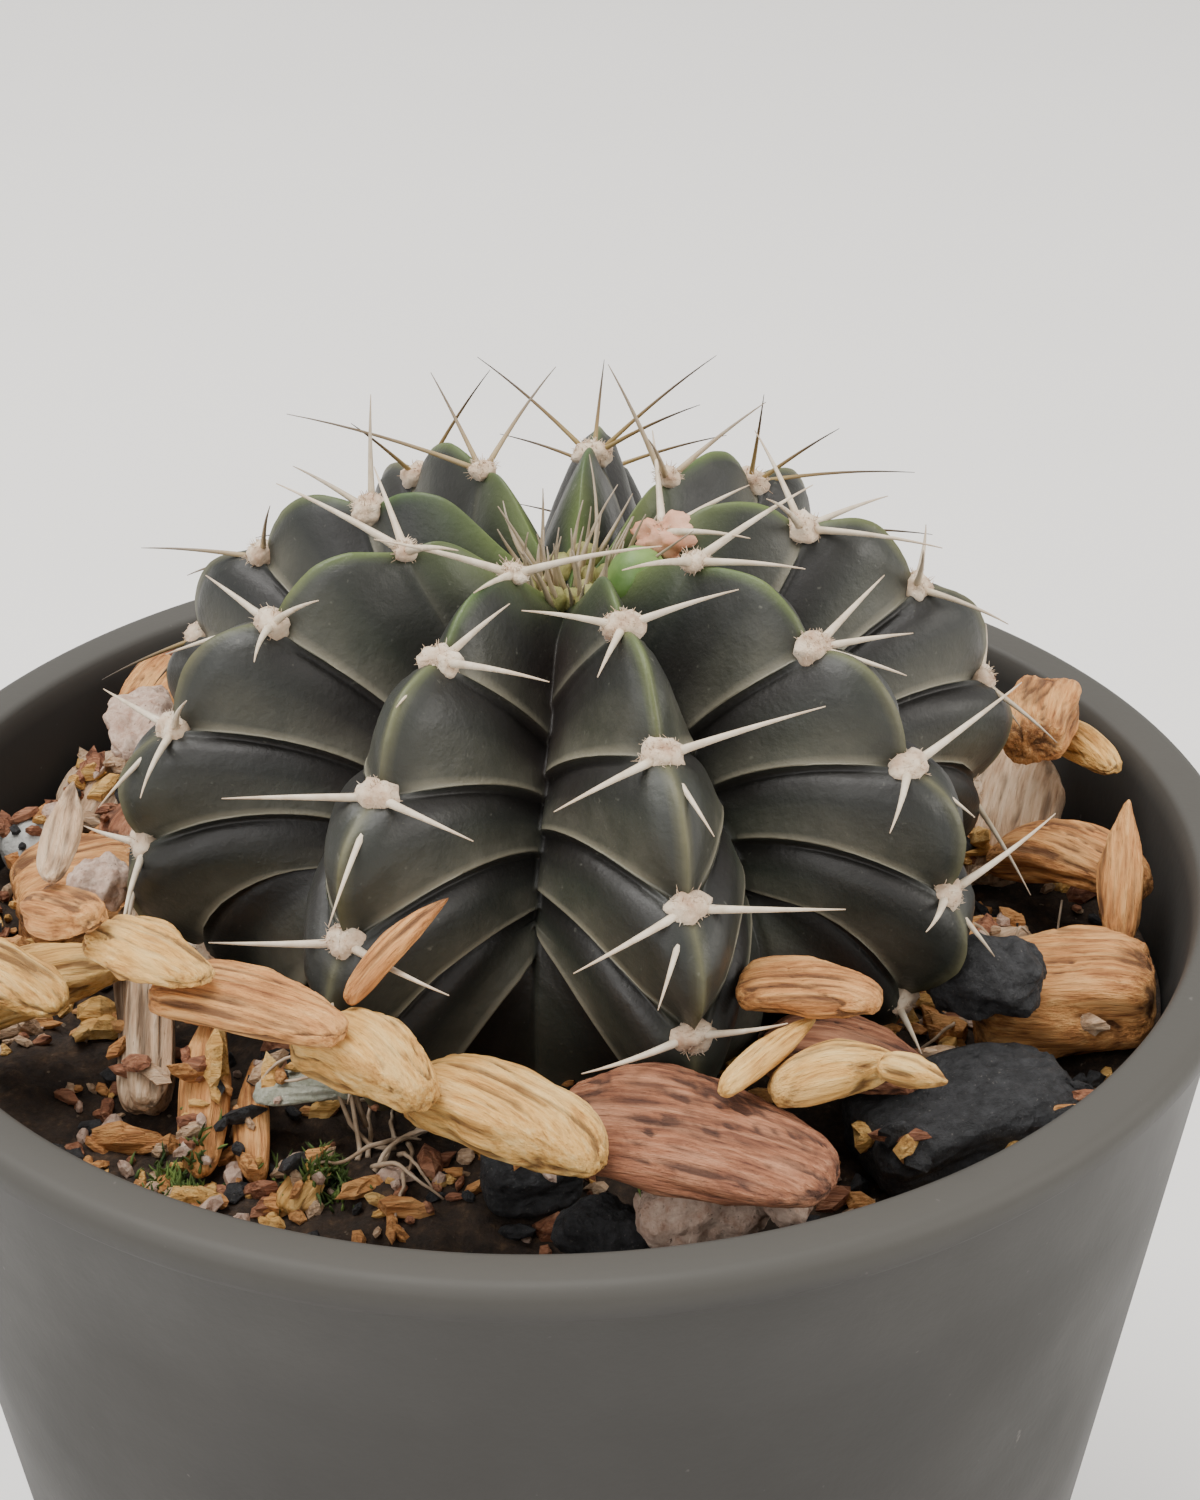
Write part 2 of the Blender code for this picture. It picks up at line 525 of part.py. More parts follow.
def place_piece(fine, x, y, stem_tree, ground):
    """Where a piece comes to lie: inside the wall, clear of the stem and on what is under it."""
    points, faces = fine
    place = np.array([x, y, 0.0])
    for _ in range(12):
        spot = points + place
        distances = np.hypot(spot[:, 0], spot[:, 1])
        over = distances.max() - WALL_LIMIT
        if over > 0.0:
            place[:2] *= 1.0 - over / max(np.hypot(*place[:2]), 1.0)
            spot = points + place
        fall = drop_height(spot, faces, *ground)
        push = push_from_stem(spot - (0.0, 0.0, fall), stem_tree)
        if push is None:
            break
        place += push
    place[2] = -fall
    return place


def back_pieces():
    """Rows like LOOSE_PIECES for the arc behind the cactus, drawn with a seed."""
    draw = np.random.RandomState(BACK_SEED)
    rows = []
    for number in range(BACK_PIECES):
        shape, kind = BACK_KINDS[number % len(BACK_KINDS)]
        turn = math.radians(BACK_FROM + 40.0 + (BACK_TO - BACK_FROM - 80.0) * (number + 0.5) / BACK_PIECES)
        radius = 36.6 + 2.4 * (-1) ** number
        length, width = draw.uniform(8.0, 12.0), draw.uniform(4.6, 6.6)
        thickness = draw.uniform(2.2, 4.6) if shape != "flake" else draw.uniform(1.8, 2.8)
        heading = math.degrees(turn) + draw.uniform(-35.0, 35.0)
        rows.append((f"back_piece_{number + 1:02d}", shape, kind, radius * math.sin(turn),
                     -radius * math.cos(turn), length, width, thickness, heading, draw.uniform(0, 7), 0.04))
    return rows


def make_loose_pieces(mix, stem_tree):
    """Every loose piece, dropped in turn on the mix and on the pieces before it."""
    above_rim = np.array([v.co[:] for v in mix.data.vertices]) / MM - (0.0, 0.0, POT_HEIGHT)
    ground_points, ground_faces = above_rim, [tuple(p.vertices) for p in mix.data.polygons]
    fine_faces = piece_faces(FINE_SIDES, FINE_RINGS)
    for number, row in enumerate(LOOSE_PIECES + tuple(back_pieces())):
        name, shape, kind, x, y, length, width, thickness, heading, pitch, bend = row
        roll = 7.0 * math.sin(5.0 * number)
        size = (shape, number, length, width, thickness, bend)
        fine = turned(piece_points(*size, FINE_SIDES, FINE_RINGS), heading, pitch, roll)
        ground_tree = tree_from(ground_points, ground_faces)
        place = place_piece((fine, fine_faces), x, y, stem_tree, (ground_points, ground_tree))
        sides, rings = (8, 6) if length > 6.9 and width > 3.0 else (6, 5)
        coarse = turned(piece_points(*size, sides, rings), heading, pitch, roll)
        thing = make_object(name, coarse + place, piece_faces(sides, rings), kind)
        face_outwards(thing)
        thing.data.shade_smooth()
        ground_faces = ground_faces + [tuple(i + len(ground_points) for i in face) for face in fine_faces]
        ground_points = np.concatenate((ground_points, fine + place))
    return tree_from(ground_points, ground_faces)


# Areoles and spines

def areole_places():
    """Every areole above the mix: rib, number, centre and its outward, right and up directions."""
    places = []
    for rib, turn in enumerate(RIB_TURNS):
        radial = np.array([math.sin(math.radians(turn)), -math.cos(math.radians(turn)), 0.0])
        right = np.array([math.cos(math.radians(turn)), math.sin(math.radians(turn)), 0.0])
        for number in range(5):
            phase = RIB_PHASES[rib] + number
            if 0.2 < phase < 4.9:
                out_radius, out_height = crest_normal(np.float64(phase))
                outward = radial * out_radius + np.array([0.0, 0.0, out_height])
                up = np.array([0.0, 0.0, out_radius]) - radial * out_height
                centre = stem_point(np.float64(phase), rib, 0.0, 0.0)
                places.append((rib, number, centre, outward, right, up))
    return places


def add_knob(shapes, centre, axes, radii):
    """A low-sided ellipsoid with its axes along the given directions."""
    mesh = bpy.data.meshes.new("knob")
    work = bmesh.new()
    bmesh.ops.create_uvsphere(work, u_segments=6, v_segments=3, radius=1.0)
    bmesh.ops.rotate(work, verts=work.verts, matrix=Matrix.Rotation(KNOB_TURN, 3, "Z"))
    bmesh.ops.triangulate(work, faces=work.faces)
    for vertex in work.verts:
        place = sum(axis * radius * value for axis, radius, value in zip(axes, radii, vertex.co))
        vertex.co = Vector((centre + place + (0.0, 0.0, POT_HEIGHT)) * MM)
    bmesh.ops.recalc_face_normals(work, faces=work.faces)
    work.to_mesh(mesh)
    work.free()
    shapes.objects.link(bpy.data.objects.new("knob", mesh))


def spine_path(root, direction, droop, length):
    """Four points of a spine: a straight run bent a little the way it droops."""
    steps = np.array([-0.8 / length, 0.33, 0.68, 1.0])[:, None] * length
    return root + direction * steps + droop * SPINE_DROOP * steps * np.abs(steps) / length


def is_clear(path, obstacles):
    """Whether every stretch of a spine keeps its distance from the loose pieces and the mix."""
    for start, end in zip(path[1:-1], path[2:]):
        for share in (0.0, 0.35, 0.7, 1.0):
            place = Vector(start + (end - start) * share)
            if obstacles.find_nearest(place, SPINE_CLEARANCE)[0] is not None:
                return False
    return True


def clear_spine(centre, frame, aim, length, obstacles):
    """The path of a spine, lifted off the skin and turned up until nothing loose is in its way."""
    outward, right, up = frame
    angle, lift = math.radians(aim[0]), math.radians(aim[1])
    across = math.cos(angle) * right + math.sin(angle) * up
    root = centre + SPINE_SEAT[0] * outward + SPINE_SEAT[1] * across
    for _ in range(16):
        direction = math.cos(lift) * across + math.sin(lift) * outward
        path = spine_path(root, direction, -outward, length)
        if is_clear(path, obstacles):
            return path
        across = across + 0.10 * up
        across = across / np.linalg.norm(across)
        lift += math.radians(3.0)
        length *= 0.97
    return path


def add_spine(shapes, path):
    """A three-sided needle along a path, sunk into its areole and pointed at the far end."""
    along = path[-1] - path[0]
    aside = np.cross(along, (0.0, 0.0, 1.0))
    aside = aside / np.linalg.norm(aside)
    upright = np.cross(aside, along / np.linalg.norm(along))
    points = []
    for step, place in enumerate(path[:-1]):
        radius = SPINE_ROOT + (SPINE_TIP - SPINE_ROOT) * step / 3.0
        for corner in range(3):
            turn = 2.0 * math.pi * corner / 3.0 + 0.5
            points.append(place + radius * (math.cos(turn) * aside + math.sin(turn) * upright))
    points.append(path[-1])
    faces = ring_faces(3, 3) + [(6, 7, 9), (7, 8, 9), (8, 6, 9), (2, 1, 0)]
    mesh = bpy.data.meshes.new("spine")
    mesh.from_pydata(((np.array(points) + (0.0, 0.0, POT_HEIGHT)) * MM).tolist(), [], faces)
    work = bmesh.new()
    work.from_mesh(mesh)
    bmesh.ops.recalc_face_normals(work, faces=work.faces)
    work.to_mesh(mesh)
    work.free()
    shapes.objects.link(bpy.data.objects.new("spine", mesh))


def grow_areoles(stem, obstacles):
    """Areoles, spines, bud and dried flower, all fused with the stem into one body."""
    shapes = bpy.data.collections.new("growths")
    bpy.context.scene.collection.children.link(shapes)
    draw = np.random.RandomState(SPINE_SEED)
    level = (np.array([1.0, 0.0, 0.0]), np.array([0.0, 1.0, 0.0]), np.array([0.0, 0.0, 1.0]))
    for x, y, height, radius in (FLOWER_BUD, DRIED_FLOWER):
        add_knob(shapes, np.array([STEM_X + x, y, height]), level, (radius, radius, radius * 1.1))
    for rib, number, centre, outward, right, up in areole_places():
        size = min(1.0, 0.7 + 0.3 * number)
        add_knob(shapes, centre + 0.35 * outward, (right, up, outward),
                 (AREOLE_WIDTH * size, AREOLE_HEIGHT * size, AREOLE_DEPTH * size))
        listed = FRONT_SPINES.get((rib, number))
        for clock, length, *own_lift in listed or OTHER_SPINES:
            if listed is None:
                clock, length = clock + draw.uniform(-14, 14), length * draw.uniform(0.85, 1.2)
            lift = own_lift[0] if own_lift else SPINE_LIFT
            add_spine(shapes, clear_spine(centre, (outward, right, up), (clock, lift), length, obstacles))
    fuse(stem, shapes)


def fuse(thing, shapes):
    """One Boolean union of a collection's shapes with an object, applied, and the shapes removed."""
    union = thing.modifiers.new("fused growths", "BOOLEAN")
    union.operation = "UNION"
    union.operand_type = "COLLECTION"
    union.collection = shapes
    union.solver = "EXACT"
    bpy.context.view_layer.update()
    result = bpy.data.meshes.new_from_object(thing.evaluated_get(bpy.context.evaluated_depsgraph_get()))
    thing.modifiers.remove(union)
    thing.data = result
    for shape in list(shapes.objects):
        bpy.data.objects.remove(shape, do_unlink=True)
    bpy.data.collections.remove(shapes)
    drop_scraps(thing)


def drop_scraps(thing):
    """Keep only the largest connected body."""
    work = bmesh.new()
    work.from_mesh(thing.data)
    left = set(work.verts)
    bodies = []
    while left:
        body, queue = set(), [left.pop()]
        while queue:
            vertex = queue.pop()
            body.add(vertex)
            for edge in vertex.link_edges:
                other = edge.other_vert(vertex)
                if other in left:
                    left.discard(other)
                    queue.append(other)
        bodies.append(body)
    keep = max(bodies, key=len)
    bmesh.ops.delete(work, geom=[v for v in work.verts if v not in keep], context="VERTS")
    work.to_mesh(thing.data)
    work.free()


def main():
    """Build the pot, the stem, the mix, the loose pieces and then the areoles with their spines."""
    clear_scene()
    make_pot()
    stem = make_stem()
    stem_tree = tree_of(stem)
    mix = make_mix(stem_tree)
    obstacles = make_loose_pieces(mix, stem_tree)
    grow_areoles(stem, obstacles)
    stem.data.shade_smooth()
    stem.data.set_sharp_from_angle(angle=math.radians(50))


main()
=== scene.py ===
# %% [markdown]
# # A potted chin cactus
# This lesson dresses a small potted cactus: a plastic pot, a ribbed stem with woolly areoles and spines,
# and a rough bed of bark, charcoal and pumice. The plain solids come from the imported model. Each is
# replaced by a finer surface that is worked out as whole numpy arrays and given a procedural finish.

# %% Load the frame
import math

import bpy
import numpy as np
from mathutils import Matrix, Vector
from mathutils.bvhtree import BVHTree


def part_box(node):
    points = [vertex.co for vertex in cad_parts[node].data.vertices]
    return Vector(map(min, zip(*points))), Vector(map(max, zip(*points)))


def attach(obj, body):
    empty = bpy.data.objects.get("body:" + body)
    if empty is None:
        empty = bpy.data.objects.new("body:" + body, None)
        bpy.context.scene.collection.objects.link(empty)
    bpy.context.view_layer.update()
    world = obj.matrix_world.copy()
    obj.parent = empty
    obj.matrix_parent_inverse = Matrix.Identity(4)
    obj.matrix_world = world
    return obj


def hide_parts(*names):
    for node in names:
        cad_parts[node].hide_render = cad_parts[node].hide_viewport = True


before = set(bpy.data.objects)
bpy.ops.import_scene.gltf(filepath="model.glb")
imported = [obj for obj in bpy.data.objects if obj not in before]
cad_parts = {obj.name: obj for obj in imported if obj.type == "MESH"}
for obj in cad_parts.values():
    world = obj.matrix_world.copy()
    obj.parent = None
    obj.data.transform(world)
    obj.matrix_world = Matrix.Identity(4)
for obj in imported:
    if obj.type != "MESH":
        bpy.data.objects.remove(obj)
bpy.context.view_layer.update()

MM = 0.001

# %% [markdown]
# ## Sizes
# All sizes are millimetres, counted up from the plane of the pot's rim, because the plant and its bed are
# seen against the rim. The driving values are those of the solid model, so the fine surfaces fall on it.

# %% Driving sizes
POT_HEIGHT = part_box("pot")[1].z / MM
RIM_OUTER, RIM_INNER, RIM_ROUND, WALL_STEP = 50.0, 46.2, 1.1, 0.7
WALL_TAPER = math.tan(math.radians(8.0))
FLOOR_TOP, FOOT_WIDTH, FOOT_HEIGHT, DRAIN_RADIUS = 4.0, 4.0, 1.6, 4.5
STEM_X = 1.9
RIB_TURNS = np.array((14.6, -27.5, -71.9, -112.0, -147.5, -186.0, -221.7, -259.1, -306.5))
RIB_PHASES = np.array((0.0, 0.375, 0.75, 0.125, 0.75, 0.125, 0.625, 0.25, 0.625))
GLOBE_RADIUS, GLOBE_HALF_HEIGHT, GLOBE_CENTRE = 30.2, 19.7, 5.7
FIRST_ANGLE, ANGLE_STEP, ANGLE_GROWTH = 0.111, 0.314, 0.022
APEX_PHASE = -0.3626
CROWN_DIP, CROWN_RADIUS = 5.6, 10.0
RIB_DEPTH, RIB_DEPTH_REACH = 10.4, 11.0
CHIN_SIZE, CHIN_WIDTH = 2.3, 0.17
RIDGE_SIZE, RIDGE_RISE, RISE_FROM, RISE_TO = 1.8, 1.2, 0.2, 4.2
LIP_SHARE = 1.0 / 8.0
BURIED_PHASE = 5.0
MIX_TOP = -10.0
MIX_WAVES = ((0.23, 0.11, 0.4), (-0.12, 0.27, 2.1), (0.31, -0.19, 4.0))
MIX_WAVE_HEIGHT = 0.3
print("pot height", round(POT_HEIGHT, 1), "mm")

# %% [markdown]
# ## Camera, floor and light
# The rim's ellipse in the picture gives the view: from the front, 29 degrees above the horizon and about
# 20 cm away. The light is that of a bright room: one large soft source above, weaker ones at the front left
# and at the right, and a pale surrounding, so that every ridge has a lit back and a dark lip.

# %% Camera
CAMERA_ELEVATION, CAMERA_ROLL = 29.35, -0.33       # degrees
CAMERA_DISTANCE, CAMERA_TARGET = 198.6, (3.9, 0.0, 7.1)
FOCAL_LENGTH = 67.2                                # for a 36 mm sensor along the picture's height


def make_camera():
    """A camera on a circle of the given elevation round the target, looking along +Y and down."""
    tilt = math.radians(CAMERA_ELEVATION)
    target = Vector(CAMERA_TARGET) + Vector((0.0, 0.0, POT_HEIGHT))
    place = target + Vector((0.0, -math.cos(tilt), math.sin(tilt))) * CAMERA_DISTANCE
    camera = bpy.data.objects.new("camera", bpy.data.cameras.new("camera"))
    camera.data.lens, camera.data.sensor_width = FOCAL_LENGTH, 36.0
    camera.data.clip_start, camera.data.clip_end = 0.01, 20.0
    turn = Matrix.Rotation(math.radians(90.0 - CAMERA_ELEVATION), 4, "X")
    roll = Matrix.Rotation(math.radians(CAMERA_ROLL), 4, "Z")
    camera.matrix_world = Matrix.Translation(place * MM) @ turn @ roll
    bpy.context.scene.collection.objects.link(camera)
    bpy.context.scene.camera = camera
    print("camera at", [round(c) for c in place])


make_camera()


# %% Helpers for node materials
def shader(name, roughness):
    """A new material, its node tree and its Principled shader with one roughness all over."""
    material = bpy.data.materials.new(name)
    material.use_nodes = True
    tree = material.node_tree
    surface = tree.nodes["Principled BSDF"]
    surface.inputs["Roughness"].default_value = roughness
    return material, tree, surface


def node(tree, kind, inputs=None, **settings):
    """A node with its settings and the values of its unlinked inputs; a socket in inputs is linked."""
    made = tree.nodes.new("ShaderNode" + kind)
    for key, value in settings.items():
        setattr(made, key, value)
    for key, value in (inputs or {}).items():
        if isinstance(value, bpy.types.NodeSocket):
            tree.links.new(value, made.inputs[key])
        else:
            made.inputs[key].default_value = value
    return made


def ramp(tree, factor, stops):
    """A colour ramp read at a factor; stops are pairs of position and linear colour."""
    made = node(tree, "ValToRGB", {"Fac": factor})
    elements = made.color_ramp.elements
    while len(elements) < len(stops):
        elements.new(0.5)
    for element, (position, colour) in zip(elements, stops):
        element.position, element.color = position, (*colour, 1.0)
    return made.outputs["Color"]


def blend(tree, factor, under, over):
    """Two colours mixed by a factor; each is a socket or a colour."""
    made = node(tree, "Mix", data_type="RGBA")
    for place, value in ((0, factor), (6, under), (7, over)):
        if isinstance(value, bpy.types.NodeSocket):
            tree.links.new(value, made.inputs[place])
        else:
            made.inputs[place].default_value = value if place == 0 else (*value, 1.0)
    return made.outputs[2]


def times(tree, first, second):
    """The product of two sockets or numbers."""
    return node(tree, "Math", {0: first, 1: second}, operation="MULTIPLY").outputs[0]


def stretch(tree, value, low, high, to_low=0.0, to_high=1.0):
    """A value mapped from one range to another and held there."""
    made = node(tree, "MapRange", {"Value": value, "From Min": low, "From Max": high,
                                   "To Min": to_low, "To Max": to_high})
    return made.outputs[0]


def noise(tree, vector, scale, detail=4.0, roughness=0.55, output="Fac"):
    """Fractal noise on a vector."""
    return node(tree, "TexNoise", {"Vector": vector, "Scale": scale, "Detail": detail,
                                   "Roughness": roughness}).outputs[output]


def scaled(tree, vector, x, y, z):
    """A vector stretched by a factor for each axis."""
    return node(tree, "Mapping", {"Vector": vector, "Scale": (x, y, z)}).outputs[0]


def object_place(tree):
    """Object coordinates in metres, which follow the piece."""
    return node(tree, "TexCoord").outputs["Object"]


def attribute(tree, name, output="Fac"):
    """A value stored at the points of the mesh."""
    return node(tree, "Attribute", attribute_name=name).outputs[output]


def bump(tree, surface, height, distance, strength=1.0):
    """Bump of a real height in metres on the shader's normal, over any bump that is there already."""
    made = node(tree, "Bump", {"Height": height, "Distance": distance, "Strength": strength})
    old = surface.inputs["Normal"].links
    if old:
        tree.links.new(old[0].from_socket, made.inputs["Normal"])
    tree.links.new(made.outputs[0], surface.inputs["Normal"])


def coat(tree, surface, tone, pattern, span, roughness):
    """Give the shader its colour, and a roughness that follows a pattern's span."""
    tree.links.new(tone, surface.inputs["Base Color"])
    tree.links.new(stretch(tree, pattern, *span, *roughness), surface.inputs["Roughness"])


# %% Floor and lights
FLOOR_COLOUR = (0.90, 0.885, 0.865)


def floor_finish():
    """Pale matt card with the faintest mottle."""
    material, tree, surface = shader("pale card", 0.85)
    mottle = noise(tree, object_place(tree), 9.0, 3.0)
    shade = ramp(tree, mottle, ((0.3, FLOOR_COLOUR), (0.7, tuple(c * 1.03 for c in FLOOR_COLOUR))))
    tree.links.new(shade, surface.inputs["Base Color"])
    return material


def make_floor(half=3.0):
    """A wide plane just under the foot ring."""
    mesh = bpy.data.meshes.new("floor")
    corners = [(-half, -half, 0), (half, -half, 0), (half, half, 0), (-half, half, 0)]
    mesh.from_pydata(corners, [], [(0, 1, 2, 3)])
    mesh.materials.append(floor_finish())
    floor = bpy.data.objects.new("floor", mesh)
    bpy.context.scene.collection.objects.link(floor)


def make_light(name, place, size, power, colour):
    """A square soft light that looks at the plant."""
    light = bpy.data.lights.new(name, "AREA")
    light.shape, light.size, light.energy, light.color = "SQUARE", size, power, colour
    lamp = bpy.data.objects.new(name, light)
    lamp.location = place
    aim = Vector((0.0, 0.0, 0.08)) - Vector(place)
    lamp.rotation_euler = aim.to_track_quat("-Z", "Y").to_euler()
    bpy.context.scene.collection.objects.link(lamp)


def make_surroundings(strength, colour):
    """A plain pale world."""
    world = bpy.data.worlds.new("room")
    world.use_nodes = True
    background = world.node_tree.nodes["Background"]
    background.inputs["Color"].default_value = (*colour, 1.0)
    background.inputs["Strength"].default_value = strength
    bpy.context.scene.world = world


make_floor()
make_light("ceiling", (-0.25, 0.15, 0.95), 0.7, 11.0, (1.0, 0.985, 0.96))
make_light("window", (-0.6, -0.7, 0.65), 0.6, 4.5, (1.0, 0.99, 0.98))
make_light("right fill", (0.8, -0.2, 0.5), 0.5, 5.5, (1.0, 0.96, 0.90))
make_surroundings(0.75, (1.0, 0.98, 0.955))


# %% [markdown]
# ## Arrays into meshes
# A grid of points, whose columns may close into a ring, is the base of every surface here. Tubes are many
# grids at once: rings of points carried along paths. Both hand their faces to the mesh as one array.

# %% Mesh helpers
def ring_quads(rings, sides, start=0):
    """Quads between rings of points, each ring a closed loop; an array of four point numbers a row."""
    row, side = np.meshgrid(np.arange(rings - 1), np.arange(sides), indexing="ij")
    after = (side + 1) % sides
    quads = np.stack((row * sides + side, row * sides + after, (row + 1) * sides + after,
                      (row + 1) * sides + side), axis=-1)
    return quads.reshape(-1, 4) + start


def make_piece(name, points, faces, material, values=None, smooth=True):
    """An object from points in millimetres above the rim, faces, and named values at its points."""
    mesh = bpy.data.meshes.new(name)
    world = (np.asarray(points, float).reshape(-1, 3) + (0.0, 0.0, POT_HEIGHT)) * MM
    lists = [block.tolist() if isinstance(block, np.ndarray) else list(block) for block in faces]
    mesh.from_pydata(world.tolist(), [], [face for block in lists for face in block])
    for key, array in (values or {}).items():
        array = np.asarray(array, np.float32)
        if array.ndim == 1:
            mesh.attributes.new(key, "FLOAT", "POINT").data.foreach_set("value", array)
        else:
            mesh.attributes.new(key, "FLOAT_VECTOR", "POINT").data.foreach_set("vector", array.ravel())
    mesh.materials.append(material)
    piece = bpy.data.objects.new(name, mesh)
    bpy.context.scene.collection.objects.link(piece)
    if smooth:
        mesh.shade_smooth()
    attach(piece, "root")
    return piece


def unit(vectors):
    """Vectors of length 1."""
    return vectors / np.maximum(np.linalg.norm(vectors, axis=-1, keepdims=True), 1e-9)


def tubes(paths, radii, sides):
    """Closed round tubes along many paths at once: points, side quads and end caps.

    A ring's points are its path point plus radius times (cos of the turn times one cross direction plus
    sin of the turn times the other), with both directions square to the path.
    """
    count, length, _ = paths.shape
    along = unit(np.gradient(paths, axis=1))
    helper = np.where(np.abs(along[:, :1, 2:]) < 0.8, [[[0.0, 0.0, 1.0]]], [[[1.0, 0.0, 0.0]]])
    first = unit(np.cross(along, np.broadcast_to(helper, along.shape)))
    second = np.cross(along, first)
    turn = 2.0 * np.pi * np.arange(sides) / sides
    spread = (first[:, :, None] * np.cos(turn)[None, None, :, None]
              + second[:, :, None] * np.sin(turn)[None, None, :, None])
    points = paths[:, :, None] + radii[:, :, None, None] * spread
    starts = np.arange(count) * length * sides
    quads = (ring_quads(length, sides)[None] + starts[:, None, None]).reshape(-1, 4)
    ring = np.arange(sides)
    caps = np.concatenate((starts[:, None] + ring[::-1], starts[:, None] + (length - 1) * sides + ring))
    return points.reshape(-1, 3), quads, caps


def smooth_step(low, high, value):
    """0 below low, 1 above high, and an S curve between them."""
    x = np.clip((value - low) / (high - low), 0.0, 1.0)
    return x * x * (3.0 - 2.0 * x)


def signed_power(value, power):
    """The power of a number's size, with its sign kept."""
    return np.sign(value) * np.abs(value) ** power


def lattice_noise(points, seed):
    """Smooth noise from -1 to 1: random numbers on a 32-cube lattice, blended by smoothed distance."""
    lattice = np.random.RandomState(seed).uniform(-1.0, 1.0, (32, 32, 32))
    whole = np.floor(points).astype(int)
    part = points - whole
    part = part * part * (3.0 - 2.0 * part)
    total = np.zeros(points.shape[:-1])
    for corner in range(8):
        step = np.array([corner & 1, corner >> 1 & 1, corner >> 2 & 1])
        weight = np.prod(np.where(step, part, 1.0 - part), axis=-1)
        at = (whole + step) % 32
        total += weight * lattice[at[..., 0], at[..., 1], at[..., 2]]
    return total


def fractal(points, seed, octaves=3):
    """Lattice noise summed over octaves, each twice as fine and half as strong."""
    return sum(lattice_noise(points * 2.0 ** k + 7.3 * k, seed + k) * 0.5 ** k for k in range(octaves))


# %% [markdown]
# ## The pot
# The real pot is injection moulded: one outline turned round an axis. Turning the outline here gives the
# same thing, with a small round on each corner of the thick rim, where the light draws a bright line.

# %% Pot outline
TURNS = 224


def arc(centre, radius, start, end, steps=5):
    """Points on an arc of the outline, angles in degrees from the radial direction."""
    angles = np.radians(np.linspace(start, end, steps))
    return np.column_stack((centre[0] + radius * np.cos(angles), centre[1] + radius * np.sin(angles)))


def pot_outline():
    """Radius and height round the pot's section, from the drain hole out, up, over the rim and back."""
    base = -POT_HEIGHT
    outer = RIM_OUTER - WALL_STEP + base * WALL_TAPER
    wall_heights = np.linspace(base + 1.0, -3.4, 9)
    wall = np.column_stack((RIM_OUTER - WALL_STEP + wall_heights * WALL_TAPER, wall_heights))
    inner_heights = np.linspace(-0.9, base + FLOOR_TOP, 9)
    inner = np.column_stack((RIM_INNER + inner_heights * WALL_TAPER, inner_heights))
    return np.concatenate((
        [(DRAIN_RADIUS, base + FOOT_HEIGHT), (outer - FOOT_WIDTH - 0.8, base + FOOT_HEIGHT)],
        [(outer - FOOT_WIDTH, base), (outer - 0.6, base), (outer - 0.1, base + 0.4)],
        wall, [(RIM_OUTER - 0.55, -2.7), (RIM_OUTER - 0.1, -2.1)],
        arc((RIM_OUTER - RIM_ROUND, -RIM_ROUND), RIM_ROUND, 0, 90, 7),
        arc((RIM_INNER + 0.7, -0.7), 0.7, 90, 176, 5),
        inner, [(DRAIN_RADIUS, base + FLOOR_TOP)]))


POT_DARK, POT_LIGHT, RIM_PAINTED_LIGHT = (0.033, 0.032, 0.030), (0.043, 0.041, 0.038), (0.080, 0.076, 0.068)


def pot_finish():
    """Dark grey moulded plastic: slightly uneven, with painted light on the rim top, and faint scuffs and
    dust.
    """
    material, tree, surface = shader("grey moulded plastic", 0.42)
    place = object_place(tree)
    tone = ramp(tree, noise(tree, place, 26.0, 5.0), ((0.3, POT_DARK), (0.7, POT_LIGHT)))
    height = node(tree, "SeparateXYZ", {"Vector": place}).outputs["Z"]
    # Painted light: the top of the rim is painted paler, where the light from above falls on it.
    rim_painted_light = stretch(tree, height, (POT_HEIGHT - 2.2) * MM, (POT_HEIGHT - 0.6) * MM, 0.0, 0.8)
    tone = blend(tree, rim_painted_light, tone, RIM_PAINTED_LIGHT)
    scuffs = noise(tree, scaled(tree, place, 210.0, 210.0, 60.0), 1.0, 6.0, 0.7)
    patches = stretch(tree, noise(tree, place, 38.0, 3.0), 0.62, 0.78)
    scuffed = times(tree, stretch(tree, scuffs, 0.56, 0.72), patches)
    tone = blend(tree, times(tree, scuffed, 0.55), tone, (0.27, 0.25, 0.24))
    specks = stretch(tree, noise(tree, place, 900.0, 2.0), 0.74, 0.80)
    tone = blend(tree, times(tree, specks, 0.25), tone, (0.30, 0.28, 0.26))
    coat(tree, surface, tone, noise(tree, place, 60.0, 4.0), (0.3, 0.7), (0.48, 0.62))
    surface.inputs["Specular IOR Level"].default_value = 0.22
    bump(tree, surface, noise(tree, place, 1400.0, 3.0), 0.00002)
    bump(tree, surface, noise(tree, place, 55.0, 2.0), 0.00012)
    return material


def make_pot():
    """The outline turned round the pot's axis into one closed surface."""
    outline = pot_outline()
    turn = 2.0 * np.pi * np.arange(TURNS) / TURNS
    points = np.stack((outline[:, :1] * np.cos(turn), outline[:, :1] * np.sin(turn),
                       np.repeat(outline[:, 1:], TURNS, 1)), axis=-1)
    rows = len(outline)
    faces = ring_quads(rows, TURNS)
    side = np.arange(TURNS)
    close = np.column_stack(((rows - 1) * TURNS + side, (rows - 1) * TURNS + (side + 1) % TURNS,
                             (side + 1) % TURNS, side))
    pot = make_piece("pot_body", points, (faces, close), pot_finish())
    pot.data.set_sharp_from_angle(angle=math.radians(40))
    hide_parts("pot")
    print("pot", len(pot.data.polygons), "faces")


make_pot()

# %% [markdown]
# ## The stem
# A chin cactus is a flattened globe of ribs. Each rib is cut across by ridges that climb like eyebrows
# from its crest into the valleys, and it swells into a blunt chin under each areole. One formula holds it
# all: a crest line is pushed inwards by the rib's depth and outwards by chins and ridges. Sculpting would
# be freer, but a formula keeps the spiral of the areoles true on every side.

